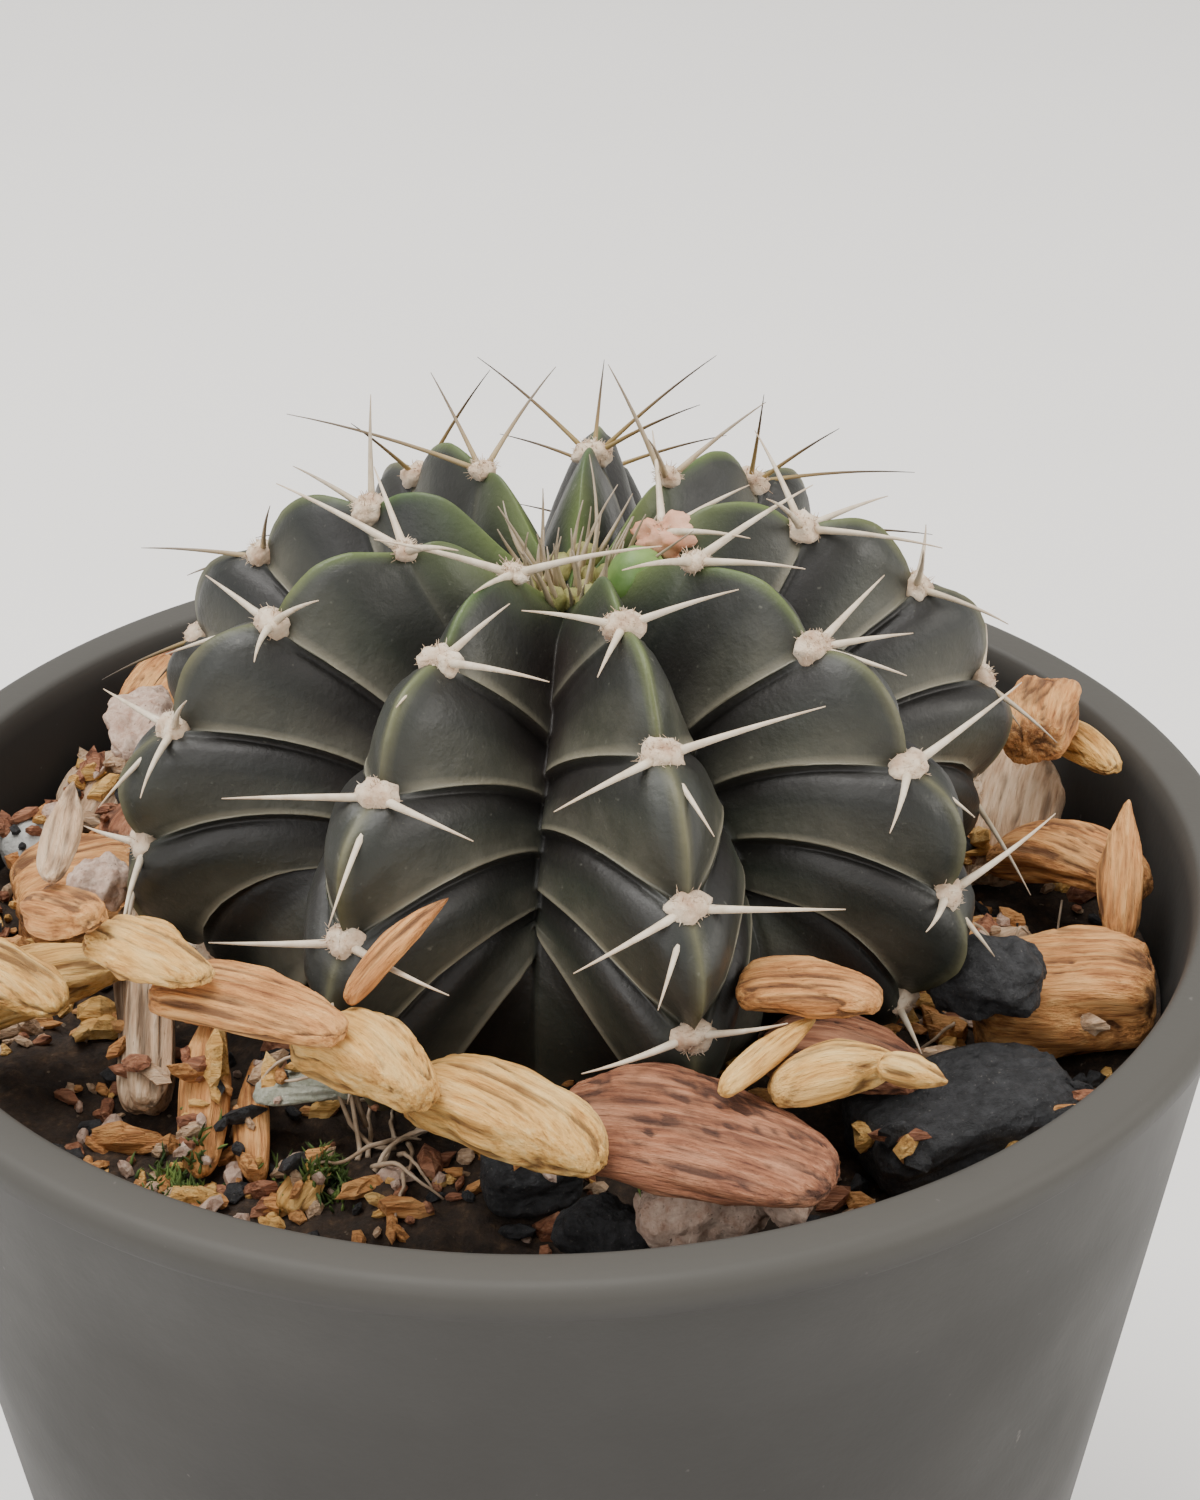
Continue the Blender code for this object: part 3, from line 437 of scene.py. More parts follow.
# %% Stem surface
COLUMN_STEPS, CROWN_ROWS, SIDE_ROWS, BURIED_ROWS = 15, 26, 296, 4
STEM_BOTTOM = -14.2
LIP_OVERHANG = 0.07        # how far a lip leans down over its groove, in areole steps
KEEL_SIZE, KEEL_WIDTH = 0.30, 0.32


def globe_line(phase):
    """Radius and height of a crest on the plain globe: powers of the sine and cosine of its angle."""
    angle = FIRST_ANGLE + ANGLE_STEP * phase + ANGLE_GROWTH * phase * phase
    radius = GLOBE_RADIUS * np.maximum(np.sin(angle), 1e-6) ** 0.93
    return radius, GLOBE_CENTRE + GLOBE_HALF_HEIGHT * signed_power(np.cos(angle), 1.05)


def crest_line(phase):
    """The globe's line less the crown's dip, a smooth bowl of the crown's radius."""
    radius, height = globe_line(phase)
    dip = CROWN_DIP * np.maximum(1.0 - (radius / CROWN_RADIUS) ** 2, 0.0) ** 2 * (phase < 3.0)
    return radius, height - dip


def crest_normal(phase):
    """The outward direction across the globe's line, from a short step along it."""
    low, high = globe_line(phase - 0.05), globe_line(phase + 0.05)
    along_radius, along_height = high[0] - low[0], high[1] - low[1]
    length = np.hypot(along_radius, along_height)
    return -along_height / length, along_radius / length


def ridge_relief(part):
    """Share of the ridge's size over an areole step: it falls back under the lip, then climbs to the next."""
    climb = np.maximum(part - LIP_SHARE, 0.0) / (1.0 - LIP_SHARE)
    return np.where(part < LIP_SHARE, 1.0 - smooth_step(0.0, LIP_SHARE, part), climb ** 1.2)


def stem_surface(phase, rib, across, gap):
    """Points of the skin and the values that its finish reads.

    A point is the crest line moved along its normal: inwards by the rib's depth times how far down the
    flank it is, outwards by the chin, the ridge and the thin keel. The phase is first moved up by the
    ridges' climb, and near a lip moved down again by the overhang.
    """
    part = (phase - RIB_PHASES[rib]) % 1.0
    side = np.abs(across)
    buried = 1.0 - smooth_step(BURIED_PHASE - 0.3, BURIED_PHASE + 0.5, phase)
    rise = RIDGE_RISE * smooth_step(RISE_FROM, RISE_TO, phase) * (1.0 - 0.5 * smooth_step(5.4, 6.3, phase))
    at = phase - rise * (1.0 - (1.0 - side) ** 1.35)
    relief = ridge_relief(part)
    grown = (1.0 - smooth_step(4.9, 5.7, at)) * smooth_step(0.5, 1.6, phase)
    grown = grown * smooth_step(0.0, 0.3, side) * (1.0 - 0.3 * smooth_step(0.9, 1.0, side))
    at = at + LIP_OVERHANG * grown * relief ** 3
    radius, height = crest_line(at)
    out_radius, out_height = crest_normal(np.maximum(at, APEX_PHASE + 0.08))
    chin = np.sin(np.pi * part ** 0.85) * buried * smooth_step(0.0, 1.6, phase)
    flat = CHIN_WIDTH * chin
    flank = (np.maximum(side - flat, 0.0) / (1.0 - flat)) ** 1.12
    depth = RIB_DEPTH * (1.0 - np.exp(-(radius / RIB_DEPTH_REACH) ** 1.5))
    depth = depth * (1.0 - smooth_step(3.9, 6.1, at + 0.3 * side))
    keel = np.exp(-(side * np.radians(gap) * radius / KEEL_WIDTH) ** 2)
    keel = keel * smooth_step(0.3, 1.0, phase) * np.sin(np.pi * part) ** 0.3
    offset = CHIN_SIZE * chin * (1.0 - side) ** 1.5 + RIDGE_SIZE * grown * (relief - 0.45)
    offset = offset + KEEL_SIZE * keel - depth * flank
    radius = np.maximum(radius + out_radius * offset, 0.0)
    height = height + out_height * offset
    turn = np.radians(RIB_TURNS[rib] + across * gap)
    points = np.stack((STEM_X + radius * np.sin(turn), -radius * np.cos(turn), height), axis=-1)
    values = {"ridge": relief, "grown": grown, "side": side, "age": phase, "keel": keel}
    return points, {key: np.broadcast_to(array, radius.shape).ravel() for key, array in values.items()}


def stem_columns():
    """Rib, place across it and half gap for every column round the stem, turning by +X."""
    half = np.linspace(0.0, 1.0, COLUMN_STEPS + 1)
    half = half - 0.08 * np.sin(2.0 * np.pi * half)
    rows = []
    for rib in np.argsort(RIB_TURNS):
        left = ((RIB_TURNS[rib] - RIB_TURNS[(rib + 1) % len(RIB_TURNS)]) % 360.0) / 2.0
        right = ((RIB_TURNS[rib - 1] - RIB_TURNS[rib]) % 360.0) / 2.0
        rows += [(rib, -step, left) for step in half[-2:0:-1]]
        rows += [(rib, step, right) for step in half]
    rib, across, gap = zip(*rows)
    return np.array(rib), np.array(across), np.array(gap)


def skin_finish():
    """Near black waxy skin: painted light and highlight at the lips, painted shadow under them, green where
    young.
    """
    material, tree, surface = shader("cactus skin", 0.5)
    place = object_place(tree)
    mottle = noise(tree, place, 260.0, 6.0, 0.6)
    broad = noise(tree, place, 75.0, 3.0)
    ridge, side, age = attribute(tree, "ridge"), attribute(tree, "side"), attribute(tree, "age")
    grown, keel = attribute(tree, "grown"), attribute(tree, "keel")
    tone = ramp(tree, broad, ((0.32, (0.016, 0.019, 0.017)), (0.5, (0.024, 0.026, 0.021)),
                              (0.68, (0.027, 0.032, 0.023))))
    plum = times(tree, stretch(tree, noise(tree, place, 48.0, 3.0), 0.50, 0.68),
                   stretch(tree, side, 0.3, 0.9))
    tone = blend(tree, times(tree, plum, 0.7), tone, (0.034, 0.019, 0.017))
    # Painted light: each ridge's climbing face, which turns up to the light, is painted paler towards its
    # lip.
    painted_lit_climb = times(tree, stretch(tree, ridge, 0.42, 1.0), grown)
    painted_lit_climb = times(tree, painted_lit_climb, stretch(tree, mottle, 0.2, 0.75, 0.35, 1.0))
    back = ramp(tree, mottle, ((0.3, (0.105, 0.104, 0.074)), (0.7, (0.175, 0.165, 0.122))))
    tone = blend(tree, times(tree, painted_lit_climb, 0.75), tone, back)
    # Painted highlight: a pale line painted along the edge of each lip.
    edge = times(tree, stretch(tree, ridge, 0.90, 0.99), grown)
    tone = blend(tree, times(tree, edge, 0.6), tone, (0.30, 0.275, 0.20))
    # Painted shadow: the groove under each lip is painted near black, where the lip shades it.
    painted_lip_shadow = times(tree, stretch(tree, ridge, 0.50, 0.12), grown)
    tone = blend(tree, times(tree, painted_lip_shadow, 0.85), tone, (0.011, 0.009, 0.008))
    olive = ramp(tree, mottle, ((0.3, (0.10, 0.10, 0.048)), (0.7, (0.21, 0.195, 0.105))))
    green = ramp(tree, broad, ((0.35, (0.09, 0.17, 0.035)), (0.65, (0.23, 0.30, 0.07))))
    keel_tone = blend(tree, stretch(tree, age, 2.2, 0.8), olive, green)
    tone = blend(tree, times(tree, keel, 0.75), tone, keel_tone)
    fresh = times(tree, stretch(tree, age, 0.8, 0.0), stretch(tree, side, 0.7, 0.0, 0.05, 1.0))
    tone = blend(tree, times(tree, fresh, 0.75), tone, green)
    specks = stretch(tree, noise(tree, place, 1500.0, 2.0), 0.70, 0.80)
    tone = blend(tree, times(tree, specks, 0.22), tone, (0.33, 0.33, 0.27))
    coat(tree, surface, tone, mottle, (0.3, 0.7), (0.42, 0.60))
    surface.inputs["Subsurface Weight"].default_value = 0.03
    surface.inputs["Subsurface Radius"].default_value = (0.001, 0.0014, 0.0005)
    bump(tree, surface, noise(tree, place, 2600.0, 4.0), 0.00004)
    bump(tree, surface, noise(tree, place, 420.0, 4.0), 0.00012)
    return material


def stem_rows():
    """Phases of the rows, closer together where the stem is seen."""
    return np.concatenate((np.linspace(APEX_PHASE + 0.02, 0.3, CROWN_ROWS, endpoint=False),
                           np.linspace(0.3, 6.0, SIDE_ROWS, endpoint=False),
                           np.linspace(6.0, 6.25, BURIED_ROWS)))


def make_stem():
    """The skin as one closed grid, with a point at the crown and one at the buried end."""
    rib, across, gap = stem_columns()
    phases = stem_rows()
    points, values = stem_surface(phases[:, None], rib[None], across[None], gap[None])
    rough = fractal(points * 0.45, 31)
    around = unit(points - np.array([STEM_X, 0.0, 4.0]))
    points = points + around * (0.10 * rough * smooth_step(0.2, 1.0, phases)[:, None])[..., None]
    rows, sides = points.shape[:2]
    ends = np.array([[STEM_X, 0.0, float(crest_line(np.float64(APEX_PHASE))[1])], [STEM_X, 0.0, STEM_BOTTOM]])
    crown, bottom, side = rows * sides, rows * sides + 1, np.arange(sides)
    after, last = (side + 1) % sides, (rows - 1) * sides
    fans = (np.column_stack((np.full(sides, crown), after, side)),
            np.column_stack((np.full(sides, bottom), last + side, last + after)))
    quads = ring_quads(rows, sides)[:, ::-1]
    values = {key: np.append(array, (array[0], array[-1])) for key, array in values.items()}
    stem = make_piece("cactus_skin", np.concatenate((points.reshape(-1, 3), ends)),
                      (quads, fans[0][:, ::-1], fans[1][:, ::-1]), skin_finish(), values)
    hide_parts("cactus")
    print("stem", rows, "x", sides, "points")
    return stem


stem = make_stem()

# %% [markdown]
# ## Areoles and spines
# Areoles are woolly cushions that sit on the crests in a spiral. From each grow three to five spines. The
# ones in front are placed as seen, by a clock angle and a length; the rest follow a seeded rule. A spine
# that would run into the bed is lifted, as in the solid model.

# %% Spine layout
SPINE_ROOT, SPINE_TIP = 0.29, 0.035
SPINE_SEAT = (0.55, 0.5)
SPINE_LIFT, SPINE_DROOP, SPINE_CLEARANCE, SPINE_SEED = 26.0, 0.10, 0.7, 8
FRONT_SPINES = {
    (0, 1): ((355, 7.5), (242, 8.0), (180, 7.0)), (0, 2): ((2, 10.5), (206, 9.5), (282, 7.0)),
    (0, 3): ((354, 9.5), (196, 9.0), (240, 6.5)), (0, 4): ((28, 8.5), (168, 8.5), (270, 5.0)),
    (1, 1): ((348, 10.5), (272, 5.5), (50, 5.5)), (1, 2): ((200, 9.5), (350, 9.5), (280, 9.5)),
    (1, 3): ((188, 8.5), (2, 10.0), (274, 6.0)), (1, 4): ((12, 8.5), (130, 7.5), (250, 5.0)),
    (8, 1): ((5, 7.5), (287, 6.0), (325, 6.5)), (8, 2): ((4, 10.5), (192, 9.0), (284, 5.0)),
    (8, 3): ((20, 9.5), (165, 8.0), (285, 6.0)), (8, 4): ((268, 6.0), (190, 7.0)),
    (7, 1): ((140, 11.0), (232, 10.0), (20, 9.0), (300, 8.0)), (7, 2): ((193, 9.5), (140, 9.0), (350, 8.0)),
    (7, 3): ((355, 8.5), (200, 8.0), (280, 6.0)), (2, 1): ((197, 7.0), (264, 7.0), (352, 10.0), (30, 8.5)),
    (2, 0): ((215, 11.0), (175, 8.0), (13, 10.0)), (2, 2): ((284, 7.0), (350, 10.0), (35, 8.5), (195, 8.0)),
    (3, 1): ((245, 8.0, 30), (170, 8.5, 62)), (3, 2): ((290, 9.0, 45), (262, 7.5, 20), (60, 7.0)),
    (4, 0): ((330, 14.5, 30), (270, 9.0, 55), (200, 11.0, 35)), (4, 1): ((25, 7.5, 45), (125, 10.0, 40)),
    (5, 1): ((340, 12.0, 40), (265, 8.0, 68), (170, 12.0, 45), (155, 9.5, 30)),
    (6, 0): ((45, 9.5, 60), (115, 8.5, 35), (245, 9.0, 45)),
    (6, 1): ((245, 14.0, 25), (185, 8.0, 52), (110, 8.0, 58)),
}
OTHER_SPINES = ((355, 9.5), (196, 9.0), (280, 6.5))


def search_tree(objects):
    """One search tree of some objects, in millimetres above the rim."""
    points, faces = [], []
    for mesh in (thing.data for thing in objects):
        spots = np.zeros(len(mesh.vertices) * 3)
        mesh.vertices.foreach_get("co", spots)
        start = len(points)
        points += (spots.reshape(-1, 3) / MM - (0.0, 0.0, POT_HEIGHT)).tolist()
        faces += [tuple(start + i for i in face.vertices) for face in mesh.polygons]
    return BVHTree.FromPolygons(points, faces)


def areole_places():
    """Every areole: rib, number, centre and its outward, right and up directions."""
    places = []
    for rib, turn in enumerate(np.radians(RIB_TURNS)):
        radial = np.array([math.sin(turn), -math.cos(turn), 0.0])
        right = np.array([math.cos(turn), math.sin(turn), 0.0])
        for number in range(5):
            phase = RIB_PHASES[rib] + number
            if 0.2 < phase < 4.9:
                out_radius, out_height = crest_normal(np.float64(phase))
                outward = radial * out_radius + np.array([0.0, 0.0, out_height])
                up = np.array([0.0, 0.0, out_radius]) - radial * out_height
                spot, _ = stem_surface(np.array([phase]), np.array([rib]), np.array([0.0]), np.array([20.0]))
                places.append((rib, number, spot[0], outward, right, up))
    return places


def spine_path(root, direction, droop, length, steps=9):
    """Points of a spine: a straight run that bends with the square of the way along it."""
    run = np.append(-0.8, np.linspace(0.15, 1.0, steps - 1) * length)[:, None]
    return root + direction * run + droop * SPINE_DROOP * run * np.abs(run) / length


def is_clear(path, obstacles):
    """Whether a spine keeps its distance from everything loose."""
    return all(obstacles.find_nearest(Vector(spot), SPINE_CLEARANCE)[0] is None for spot in path[2:])


def clear_spine(centre, axes, aim, length, obstacles):
    """The path of a spine, lifted and turned up until nothing is in its way."""
    outward, right, up = axes
    angle, lift = math.radians(aim[0]), math.radians(aim[1])
    across = math.cos(angle) * right + math.sin(angle) * up
    root = centre + SPINE_SEAT[0] * outward + SPINE_SEAT[1] * across
    for _ in range(16):
        path = spine_path(root, math.cos(lift) * across + math.sin(lift) * outward, -outward, length)
        if is_clear(path, obstacles):
            break
        across = unit(across + 0.10 * up)
        lift += math.radians(3.0)
        length *= 0.97
    return path


# %% Spine and wool finishes
def spine_finish():
    """Horn: ivory at the root of old spines, ochre to dark brown towards the tips of the high ones."""
    material, tree, surface = shader("spine horn", 0.45)
    along, tint = attribute(tree, "along"), attribute(tree, "tint")
    fleck = noise(tree, object_place(tree), 900.0, 3.0)
    ivory = ramp(tree, fleck, ((0.3, (0.62, 0.50, 0.36)), (0.7, (0.82, 0.72, 0.57))))
    ivory = blend(tree, stretch(tree, along, 0.55, 1.0, 0.0, 0.55), ivory, (0.50, 0.33, 0.20))
    brown = ramp(tree, along, ((0.0, (0.36, 0.26, 0.10)), (0.30, (0.22, 0.14, 0.05)),
                               (0.65, (0.07, 0.042, 0.020)), (1.0, (0.020, 0.013, 0.010))))
    coat(tree, surface, blend(tree, tint, ivory, brown), fleck, (0.3, 0.7), (0.38, 0.55))
    bump(tree, surface, fleck, 0.00003)
    return material


def wool_finish():
    """Felted cream wool with pink and tan patches."""
    material, tree, surface = shader("areole wool", 0.9)
    place = object_place(tree)
    tone = ramp(tree, noise(tree, place, 700.0, 4.0), ((0.30, (0.44, 0.27, 0.17)), (0.5, (0.66, 0.50, 0.35)),
                                                      (0.70, (0.80, 0.68, 0.53))))
    tree.links.new(tone, surface.inputs["Base Color"])
    surface.inputs["Sheen Weight"].default_value = 0.25
    bump(tree, surface, noise(tree, place, 3000.0, 4.0), 0.00012)
    return material


# %% Grow the spines
def spine_layout(obstacles):
    """Paths of all spines and, for each, how dark it is."""
    draw = np.random.RandomState(SPINE_SEED)
    paths, tints = [], []
    for rib, number, centre, outward, right, up in areole_places():
        listed = FRONT_SPINES.get((rib, number))
        for clock, length, *own_lift in listed or OTHER_SPINES:
            if listed is None:
                clock, length = clock + draw.uniform(-14, 14), length * draw.uniform(0.85, 1.2)
            aim = (clock, own_lift[0] if own_lift else SPINE_LIFT)
            paths.append(clear_spine(centre, (outward, right, up), aim, length, obstacles))
            tints.append(float(smooth_step(0.0, 13.0, centre[1])))
    return np.array(paths), np.array(tints)


def make_spines():
    """All spines as tapering tubes with a small swelling at the root."""
    loose = [solid for name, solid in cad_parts.items() if name not in ("pot", "cactus")]
    paths, tints = spine_layout(search_tree(loose))
    share = np.linspace(0.0, 1.0, paths.shape[1])
    taper = SPINE_ROOT + (SPINE_TIP - SPINE_ROOT) * share ** 1.1 + 0.08 * np.exp(-share * 14.0)
    points, quads, caps = tubes(paths, taper[None] * (1.0 - 0.38 * tints[:, None]), 8)
    along = np.repeat(np.tile(share, len(paths)), 8)
    tint = np.repeat(tints, paths.shape[1] * 8)
    make_piece("cactus_spines", points, (quads, caps), spine_finish(),
               {"along": along, "tint": tint})
    print("spines", len(paths))


make_spines()


# %% Areole cushions and their wool
def ball(rows, sides):
    """Directions over a ball as a grid from pole to pole."""
    polar = np.pi * (np.arange(rows) + 0.5) / rows
    turn = 2.0 * np.pi * np.arange(sides) / sides
    return np.stack((np.sin(polar)[:, None] * np.cos(turn), np.sin(polar)[:, None] * np.sin(turn),
                     np.repeat(np.cos(polar)[:, None], sides, 1)), axis=-1)


def lumps(centres, axes, radii, rows, sides, seed, rough, pitch):
    """Many rough ellipsoids at once: points, quads and caps.

    A point is the centre plus its direction over a ball, scaled by the three radii along the three axes
    and by one plus fractal noise.
    """
    directions = ball(rows, sides)
    local = directions[None] * radii[:, None, None, :]
    spots = centres[:, None, None] + np.einsum("nrsk,nkj->nrsj", local, axes)
    swell = 1.0 + rough * fractal(spots / pitch, seed)
    spots = centres[:, None, None] + (spots - centres[:, None, None]) * swell[..., None]
    count = len(centres)
    starts = np.arange(count) * rows * sides
    quads = (ring_quads(rows, sides)[None, :, ::-1] + starts[:, None, None]).reshape(-1, 4)
    ring = np.arange(sides)
    caps = np.concatenate((starts[:, None] + ring, starts[:, None] + (rows - 1) * sides + ring[::-1]))
    return spots.reshape(-1, 3), quads, caps


WOOL_FIBRES = 110


def make_areoles():
    """A rough cushion on every areole, and short curled fibres that stand out of it."""
    places = areole_places()
    centres = np.array([place[2] for place in places])
    outward, right, up = [np.array([place[k] for place in places]) for k in (3, 4, 5)]
    size = np.minimum(1.0, 0.7 + 0.3 * np.array([place[1] for place in places]))
    axes = np.stack((right, up, outward), axis=1)
    radii = np.stack((1.45 * size, 1.2 * size, 1.05 * size), axis=1)
    seats = centres + 0.35 * outward
    wool = wool_finish()
    points, quads, caps = lumps(seats, axes, radii, 16, 20, 5, 0.20, 0.55)
    make_piece("cactus_areoles", points, (quads, caps), wool)
    draw = np.random.RandomState(12)
    count = len(places)
    way = unit(draw.normal(0.0, 1.0, (count, WOOL_FIBRES, 3)) * (1.0, 1.0, 0.7) + (0.0, 0.0, 0.75))
    start = seats[:, None] + np.einsum("nfk,nkj->nfj", way * radii[:, None] * 0.9, axes)
    heading = unit(np.einsum("nfk,nkj->nfj", way, axes) + draw.normal(0.0, 0.55, (count, WOOL_FIBRES, 3)))
    curl = unit(draw.normal(0.0, 1.0, (count, WOOL_FIBRES, 3)))
    reach = draw.uniform(0.15, 0.5, (count, WOOL_FIBRES, 1, 1))
    run = np.linspace(0.0, 1.0, 4)[None, None, :, None]
    paths = start[:, :, None] + reach * (heading[:, :, None] * run + 0.55 * curl[:, :, None] * run ** 2)
    paths = paths.reshape(-1, 4, 3)
    thin = np.repeat(np.array([[0.04, 0.035, 0.028, 0.012]]), len(paths), 0)
    points, quads, caps = tubes(paths, thin, 3)
    make_piece("cactus_wool", points, (quads, caps), wool)
    print("areoles", count, "fibres", len(paths))


make_areoles()

# %% [markdown]
# ## The crown
# In the crown's dip young spines stand in a tuft, still straw yellow. A green bud and the dry remains of a
# flower sit beside it. They are soft rounded bodies, so each is a rough ellipsoid.

# %% Crown growths
CROWN_CENTRE = np.array([STEM_X, 0.0, 19.6])
BUD_PLACE, BUD_RADIUS = np.array([STEM_X + 4.6, -1.6, 21.0]), 2.25
FLOWER_PLACE, FLOWER_RADIUS = np.array([STEM_X + 6.9, 1.4, 22.8]), 1.8
YOUNG_SPINES, YOUNG_STEPS, YOUNG_KNOBS = 46, 7, 14
LEVEL = np.eye(3)[None]


def plain_finish(name, dark, light, pitch, depth, roughness, detail=4.0):
    """A mottled matt finish between two colours, with bump of the same pattern."""
    material, tree, surface = shader(name, roughness)
    place = object_place(tree)
    pattern = noise(tree, place, pitch, detail)
    tone = ramp(tree, pattern, ((0.32, dark), (0.68, light)))
    coat(tree, surface, tone, pattern, (0.3, 0.7), (roughness - 0.08, roughness + 0.08))
    bump(tree, surface, noise(tree, place, pitch * 2.5, detail), depth)
    return material


def make_crown():
    """The tuft of young spines, the small young knobs, the bud and the dry flower."""
    draw = np.random.RandomState(4)
    count = YOUNG_SPINES
    turn = draw.uniform(0.0, 2.0 * np.pi, count)
    out = draw.uniform(0.4, 4.2, count)
    roots = CROWN_CENTRE + np.stack((out * np.cos(turn), out * np.sin(turn), 0.06 * out ** 2 - 0.3), axis=-1)
    lean = unit(np.stack((np.cos(turn) * out * 0.16, np.sin(turn) * out * 0.16, np.ones(count)), axis=-1)
                + draw.normal(0.0, 0.22, (count, 3)))
    curl = draw.normal(0.0, 0.12, (count, 3))
    run = np.linspace(0.0, 1.0, YOUNG_STEPS)[None, :, None]
    reach = draw.uniform(2.5, 7.0, (count, 1, 1))
    paths = roots[:, None] + reach * (lean[:, None] * run + curl[:, None] * run ** 2)
    taper = np.repeat((0.26 * (1.0 - np.linspace(0.0, 0.85, YOUNG_STEPS)))[None], count, 0)
    points, quads, caps = tubes(paths, taper, 6)
    share = np.repeat(np.tile(np.linspace(0.0, 1.0, YOUNG_STEPS), count), 6)
    make_piece("cactus_young_spines", points, (quads, caps), spine_finish(),
               {"along": share * 0.8, "tint": np.full(len(points), 0.55)})
    order = np.arange(YOUNG_KNOBS)
    angle = 2.4 * order
    ring = 1.1 + 0.42 * order ** 0.75
    spots = CROWN_CENTRE + np.stack((ring * np.cos(angle), ring * np.sin(angle), 0.05 * ring ** 2), axis=-1)
    size = np.repeat((0.75 + 0.05 * order)[:, None], 3, 1)
    points, quads, caps = lumps(spots, np.repeat(LEVEL, YOUNG_KNOBS, 0), size, 10, 12, 9, 0.25, 0.8)
    young = plain_finish("young growth", (0.19, 0.20, 0.05), (0.42, 0.38, 0.15), 700.0, 0.0001, 0.7)
    make_piece("cactus_young_knobs", points, (quads, caps), young)
    bud = plain_finish("bud green", (0.07, 0.15, 0.03), (0.19, 0.30, 0.08), 300.0, 0.00006, 0.5)
    radii = np.array([[1.0, 1.0, 1.15]]) * BUD_RADIUS
    points, quads, caps = lumps(BUD_PLACE[None], LEVEL, radii, 24, 32, 3, 0.07, 1.6)
    make_piece("cactus_bud", points, (quads, caps), bud)
    dry = plain_finish("dry flower", (0.50, 0.19, 0.09), (0.78, 0.47, 0.33), 420.0, 0.00012, 0.75)
    radii = np.array([[1.25, 0.9, 1.0]]) * FLOWER_RADIUS
    points, quads, caps = lumps(FLOWER_PLACE[None], LEVEL, radii, 28, 36, 17, 0.34, 0.9)
    make_piece("cactus_dried_flower", points, (quads, caps), dry)
    print("crown spines", count)


make_crown()

# %% [markdown]
# ## The bed
# The mix fills the pot up to a finger's width under the rim. On it lie pieces of bark, charcoal and
# pumice. Each is the same rounded box as in the solid model, worked out on a finer grid, and roughened
# along its grain: bark splits along its fibres, charcoal breaks in blocks and pumice is full of pits.

# %% Finishes of the bed
def bark_finish(name, dark, middle, light):
    """Fibrous wood: streaks along the piece's own grain, paler and darker in broad patches, painted shade in
    the cracks.
    """
    material, tree, surface = shader(name, 0.78)
    grain = attribute(tree, "grain", "Vector")
    fibres = noise(tree, scaled(tree, grain, 0.16, 2.8, 2.8), 1.0, 7.0, 0.62)
    broad = noise(tree, scaled(tree, grain, 0.22, 0.5, 0.5), 1.0, 3.0)
    tone = ramp(tree, fibres, ((0.28, dark), (0.5, middle), (0.72, light)))
    tone = blend(tree, stretch(tree, broad, 0.5, 0.72, 0.0, 0.6), tone, light)
    tone = blend(tree, stretch(tree, broad, 0.46, 0.28, 0.0, 0.55), tone, dark)
    # Painted shade: the piece is painted darker where its relief sinks into cracks and hollows.
    painted_crack_shade = stretch(tree, attribute(tree, "relief"), -0.15, -0.8, 0.0, 0.8)
    tone = blend(tree, painted_crack_shade, tone, tuple(c * 0.35 for c in dark))
    coat(tree, surface, tone, fibres, (0.3, 0.7), (0.85, 0.66))
    bump(tree, surface, fibres, 0.0004)
    bump(tree, surface, noise(tree, scaled(tree, grain, 0.9, 7.0, 7.0), 1.0, 4.0), 0.00015)
    return material


def charcoal_finish(name, dust):
    """Charcoal: blue-black with dull grey faces, pits and grains of pale dust."""
    material, tree, surface = shader(name, 0.6)
    grain = attribute(tree, "grain", "Vector")
    cells = node(tree, "TexVoronoi", {"Vector": scaled(tree, grain, 0.8, 1.5, 1.5), "Scale": 1.0})
    tone = ramp(tree, noise(tree, grain, 1.1, 6.0, 0.65),
                ((0.3, (0.010, 0.010, 0.011)), (0.7, (0.055, 0.056, 0.06))))
    specks = stretch(tree, noise(tree, grain, 4.5, 3.0), 0.66, 0.74)
    tone = blend(tree, times(tree, specks, dust), tone, (0.36, 0.33, 0.29))
    coat(tree, surface, tone, noise(tree, grain, 2.0, 3.0), (0.35, 0.65), (0.45, 0.8))
    bump(tree, surface, cells.outputs["Distance"], 0.00035)
    bump(tree, surface, noise(tree, grain, 5.0, 5.0, 0.7), 0.00030)
    return material


def stone_finish(name, dark, light, pitch, pits):
    """Crumbly stone: mottled, with dark spots of painted shade for its pits."""
    material, tree, surface = shader(name, 0.85)
    grain = attribute(tree, "grain", "Vector")
    tone = ramp(tree, noise(tree, grain, pitch, 6.0, 0.65), ((0.3, dark), (0.7, light)))
    # Painted shade: dark spots painted where pits would hold shade.
    painted_pit_shade = stretch(tree, noise(tree, grain, pitch * 2.2, 3.0), 0.36, 0.26)
    tone = blend(tree, times(tree, painted_pit_shade, pits), tone, tuple(c * 0.3 for c in dark))
    coat(tree, surface, tone, noise(tree, grain, pitch, 2.0), (0.3, 0.7), (0.78, 0.95))
    bump(tree, surface, noise(tree, grain, pitch * 1.6, 6.0, 0.7), 0.0004)
    return material


